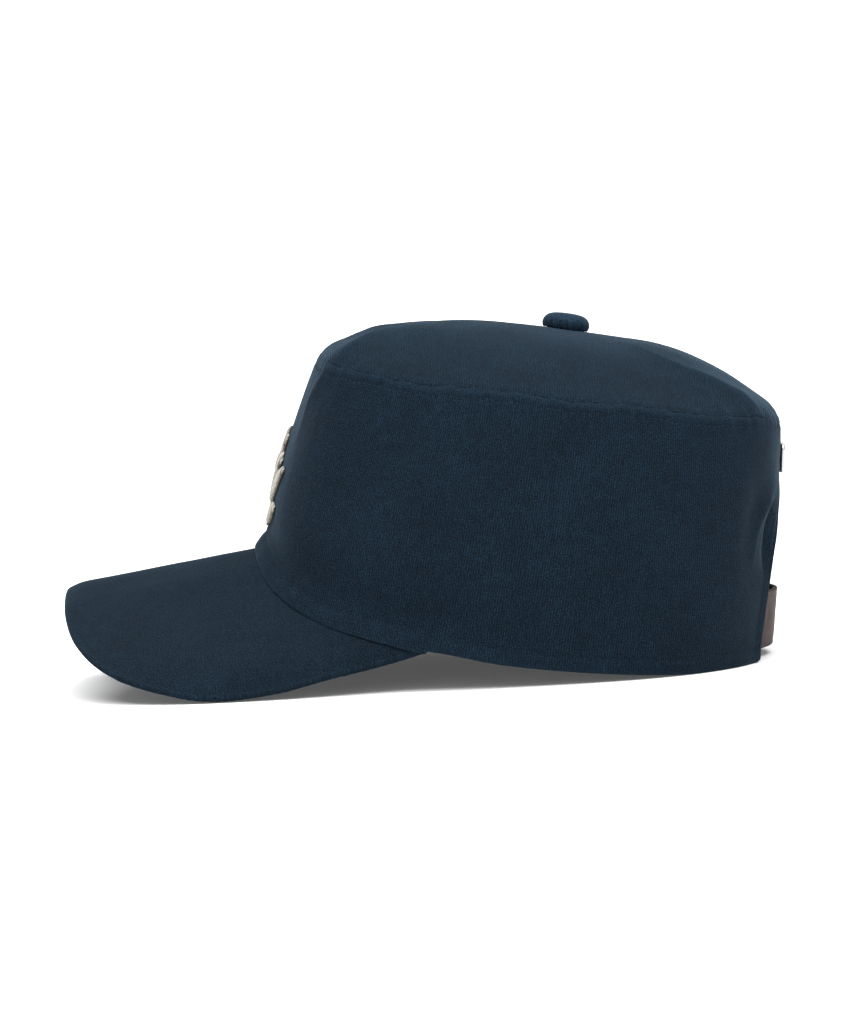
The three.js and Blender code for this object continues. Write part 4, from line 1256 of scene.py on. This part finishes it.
# %% Felt and embroidery thread
# the felt's dark browns make the pad's rim a painted shadow along the emblem's edges
def felt_pad_shadow_paint(tree):
    place = add(tree, "TexCoord").outputs["Object"]
    hair = add(tree, "TexNoise", {"Vector": place, "Scale": 1 / (0.3 * MM), "Detail": 4.0})
    bump = add(tree, "Bump", {"Height": hair.outputs[0], "Strength": 0.7, "Distance": 0.15 * MM})
    colour = add(tree, "Mix", {0: hair.outputs[0], 6: linear("14100e"), 7: linear("2a211c")},
                 data_type="RGBA")
    return add(tree, "BsdfPrincipled", {"Base Color": colour.outputs[2], "Roughness": 1.0,
                                        "Specular IOR Level": 0.1, "Sheen Weight": 0.2,
                                        "Normal": bump.outputs[0]})


def embroidery_paint(tree):
    tone = add(tree, "Attribute", attribute_name="tone").outputs["Fac"]
    place = add(tree, "TexCoord").outputs["Object"]
    twist = add(tree, "TexNoise", {"Vector": place, "Scale": 1 / (0.25 * MM), "Detail": 2.0})
    bump = add(tree, "Bump", {"Height": twist.outputs[0], "Strength": 0.4, "Distance": 0.05 * MM})
    base = add(tree, "Mix", {0: tone, 6: linear("a29d93"), 7: linear("d0ccc2")},
               data_type="RGBA")
    twisted = add(tree, "MapRange", {0: twist.outputs[0], 1: 0.35, 2: 0.65, 3: -0.2, 4: 0.9})
    colour = add(tree, "Mix", {0: twisted.outputs[0], 6: base.outputs[2], 7: linear("75706a")},
                 data_type="RGBA")
    return add(tree, "BsdfPrincipled", {"Base Color": colour.outputs[2], "Roughness": 0.6,
                                        "Specular IOR Level": 0.3, "Sheen Weight": 0.1,
                                        "Sheen Roughness": 0.4, "Normal": bump.outputs[0]})


# %% Shapes of the flower sprig
EMBLEM_Z, PAD_DEPTH, PAD_RIDGE, PAD_GAP = 78 * MM, 0.9 * MM, 0.8 * MM, 0.2 * MM
# stem and leaves: (from x, from z, to x, to z, width), in mm from the emblem's middle
SPRIG = [(0, -6, 0, -19, 2.6), (0, -9, 25, 4, 8.5), (0, -9, -25, 4, 8.5),
         (0, -16, 22, -11, 7.5), (0, -16, -22, -11, 7.5)]
FLOWER_Z, PETALS, FLOWER_RADIUS, PETAL_WIDTH, HEART = 6, 8, 13, 7.6, 4.2
petal_turns = [i / PETALS * 2 * math.pi for i in range(PETALS)]
FLOWER = [(math.cos(t), FLOWER_Z + math.sin(t), FLOWER_RADIUS * math.cos(t),
           FLOWER_Z + FLOWER_RADIUS * math.sin(t), PETAL_WIDTH) for t in petal_turns]
THREAD_PITCH, SATIN_RADIUS, SATIN_SLANT, RAGGED = 0.4 * MM, 0.2 * MM, 0.45, 0.55 * MM
ACROSS_THREAD = np.array([-1.0, -0.78, -0.4, 0, 0.4, 0.78, 1.0])  # points along one thread


def on_front(x, z, out):
    """A point on the wall's front by its place in the emblem, standing off the cloth."""
    angle, up = on_wall("front", x, EMBLEM_Z + z)
    return wall_skin(angle, up, out)


def leaf_frame(leaf):
    x0, z0, x1, z1, width = (value * MM for value in leaf)
    start, reach = np.array([x0, z0]), np.array([x1 - x0, z1 - z0])
    length = np.hypot(*reach)
    return start, reach / length, np.array([-reach[1], reach[0]]) / length, length, width


def leaf_half(share, width):
    return np.maximum(0.5 * MM, width / 2 * np.sin(math.pi * np.clip(share, 0, 1)) ** 0.75)


# the pad reaches a quarter millimetre past the satin, so its dark rim shows as a painted shadow
def leaf_pad(leaf):
    """A low felt pad, a little wider than the satin over it, as a closed grid of sections."""
    start, along, side, length, width = leaf_frame(leaf)
    share = (0.5 - 0.5 * np.cos(np.linspace(0, math.pi, 30)))[None, :]
    turn = np.linspace(0, math.pi, 15)[:, None]
    across = np.cos(turn) * (leaf_half(share, width) + 0.25 * MM)
    ends = np.clip(4 * share * (1 - share) * 3, 0.15, 1) ** 0.5
    out = PAD_GAP + (PAD_DEPTH - 0.1 * MM) * np.sin(turn) ** 0.8 * ends
    base = np.stack([across[::-1], np.full_like(out, -0.4 * MM)], 0)
    across, out = np.concatenate([across, base[0, 1:-1]]), np.concatenate([out, base[1, 1:-1]])
    plan = start + along * (share * length)[..., None] + side * across[..., None]
    return on_front(plan[..., 0], plan[..., 1], out)[0]


ragged = np.random.default_rng(12)


def leaf_threads(leaf):
    """Satin threads across a leaf, with uneven ends: paths and ups."""
    start, along, side, length, width = leaf_frame(leaf)
    count = int(length * 0.94 / THREAD_PITCH)
    share = np.linspace(0.03, 0.97, count)[:, None]
    across = ACROSS_THREAD
    half = leaf_half(share, width) + RAGGED * (ragged.random((count, 1)) - 0.4)
    middle = share * length + SATIN_SLANT * half * across
    plan = start + along * middle[..., None] + side * (across * half)[..., None]
    height = PAD_GAP + (PAD_DEPTH + PAD_RIDGE - SATIN_RADIUS) * (1 - np.abs(across) ** 3.5 * 0.75)
    height = height * np.clip(half / (2.2 * MM), 0.55, 1)
    return on_front(plan[..., 0], plan[..., 1], height)


def heart_threads():
    """Satin threads across the round heart of the flower, a little higher than the petals."""
    offset = np.arange(-HEART, HEART, THREAD_PITCH / MM)[:, None] * MM
    half = np.sqrt(np.clip((HEART * MM) ** 2 - offset ** 2, (0.6 * MM) ** 2, None))
    across = ACROSS_THREAD
    dome = 1 - np.abs(across) ** 3 * 0.5
    height = PAD_GAP + PAD_DEPTH + (PAD_RIDGE + 0.35 * MM) * dome * (half / (HEART * MM))
    plan_x, plan_z = across * half, FLOWER_Z * MM + offset + 0 * across
    return on_front(plan_x, plan_z, height)


# %% Emblem meshes
pads = [leaf_pad(leaf) for leaf in SPRIG + FLOWER]
pad_mesh = grid_mesh("emblem_felt_pads_painted_shadow", [
    dict(points=pad, uv=np.zeros((pad.shape[0] + 1, pad.shape[1] + 1, 2)), wrap_rows=True)
    for pad in pads])
caps, start = [], 0
for pad in pads:
    caps += [ring + start for ring in end_caps(pad)]
    start += pad.shape[0] * pad.shape[1]
close_rings(pad_mesh, caps)
finish_mesh("emblem_felt_pads_painted_shadow", pad_mesh, new_material("felt_painted_as_shadow", felt_pad_shadow_paint))
satin = [leaf_threads(leaf) for leaf in SPRIG + FLOWER] + [heart_threads()]
satin_paths, satin_ups = (np.concatenate([made[i] for made in satin]) for i in range(2))
satin_radii = SATIN_RADIUS * np.array([0.6, 0.95, 1, 1, 1, 0.95, 0.6])
emblem = finish_mesh("emblem_satin_stitch",
                     thread_mesh("emblem_satin_stitch", satin_paths, satin_radii, satin_ups),
                     new_material("grey_embroidery_thread", embroidery_paint),
                     ["front_emblem"])
print("emblem has", len(satin_paths), "satin threads")

# %% [markdown]
# ## Topstitching
# Rows of lockstitch hold the seam allowance down and close the hem and the arch. Each stitch is
# a short capsule of thread whose ends dive into the cloth, at eleven to the inch, laid along the
# same lines that are pressed into the panels. The thread is painted darker than the cloth, as
# painted shade of the needle holes.

# %% Stitch rows on the crown
around_seam = np.linspace(-math.pi, math.pi, 1600, endpoint=False)
tall = wall_point(around_seam, 1.0)[:, 2] - wall_point(around_seam, 0.0)[:, 2]
arch_side, _ = on_back(ARCH_HALF + HEM_STITCH, HEM_STITCH)
around_hem = np.linspace(-float(arch_side), float(arch_side), 1600)
hem_tall = wall_point(around_hem, 1.0)[:, 2] - wall_point(around_hem, 0.0)[:, 2]
arch_x, arch_z = arch_line(np.linspace(0, math.pi, 600), HEM_STITCH)
above_hem = arch_z > HEM_STITCH
arch_row = on_back(arch_x[above_hem], arch_z[above_hem])
stitch_rows("crown_topstitching", [
    (*wall_skin(around_seam, 1 - SEAM_STITCH / tall), True)], seam_thread_painted_dark, seed=4)
stitch_rows("hem_topstitching", [
    (*wall_skin(around_hem, HEM_STITCH / hem_tall), False),
    (*wall_skin(*arch_row), False)], hem_thread_painted_dark, seed=6)

# %% [markdown]
# ## Check against the solids
# The cloth may stand a little proud of its solid, but never far, so the last cell measures that.

# %% How far the pieces stand from their solids
EVERY = 7  # only one point in seven is measured
for piece, node in [(crown_wall, "crown_wall"), (crown_top, "crown_top"), (peak, "peak"),
                    (button, "button"), (strap, "strap"), (buckle, "strap_buckle"),
                    (emblem, "front_emblem"), (back_plate, "back_plate")]:
    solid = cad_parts[node].data
    tree = BVHTree.FromPolygons([v.co for v in solid.vertices],
                                [polygon.vertices for polygon in solid.polygons])
    far = max(tree.find_nearest(v.co)[3] for v in list(piece.data.vertices)[::EVERY])
    print(f"{piece.name} stands up to {far / MM:.2f} mm from its solid, at every seventh point")
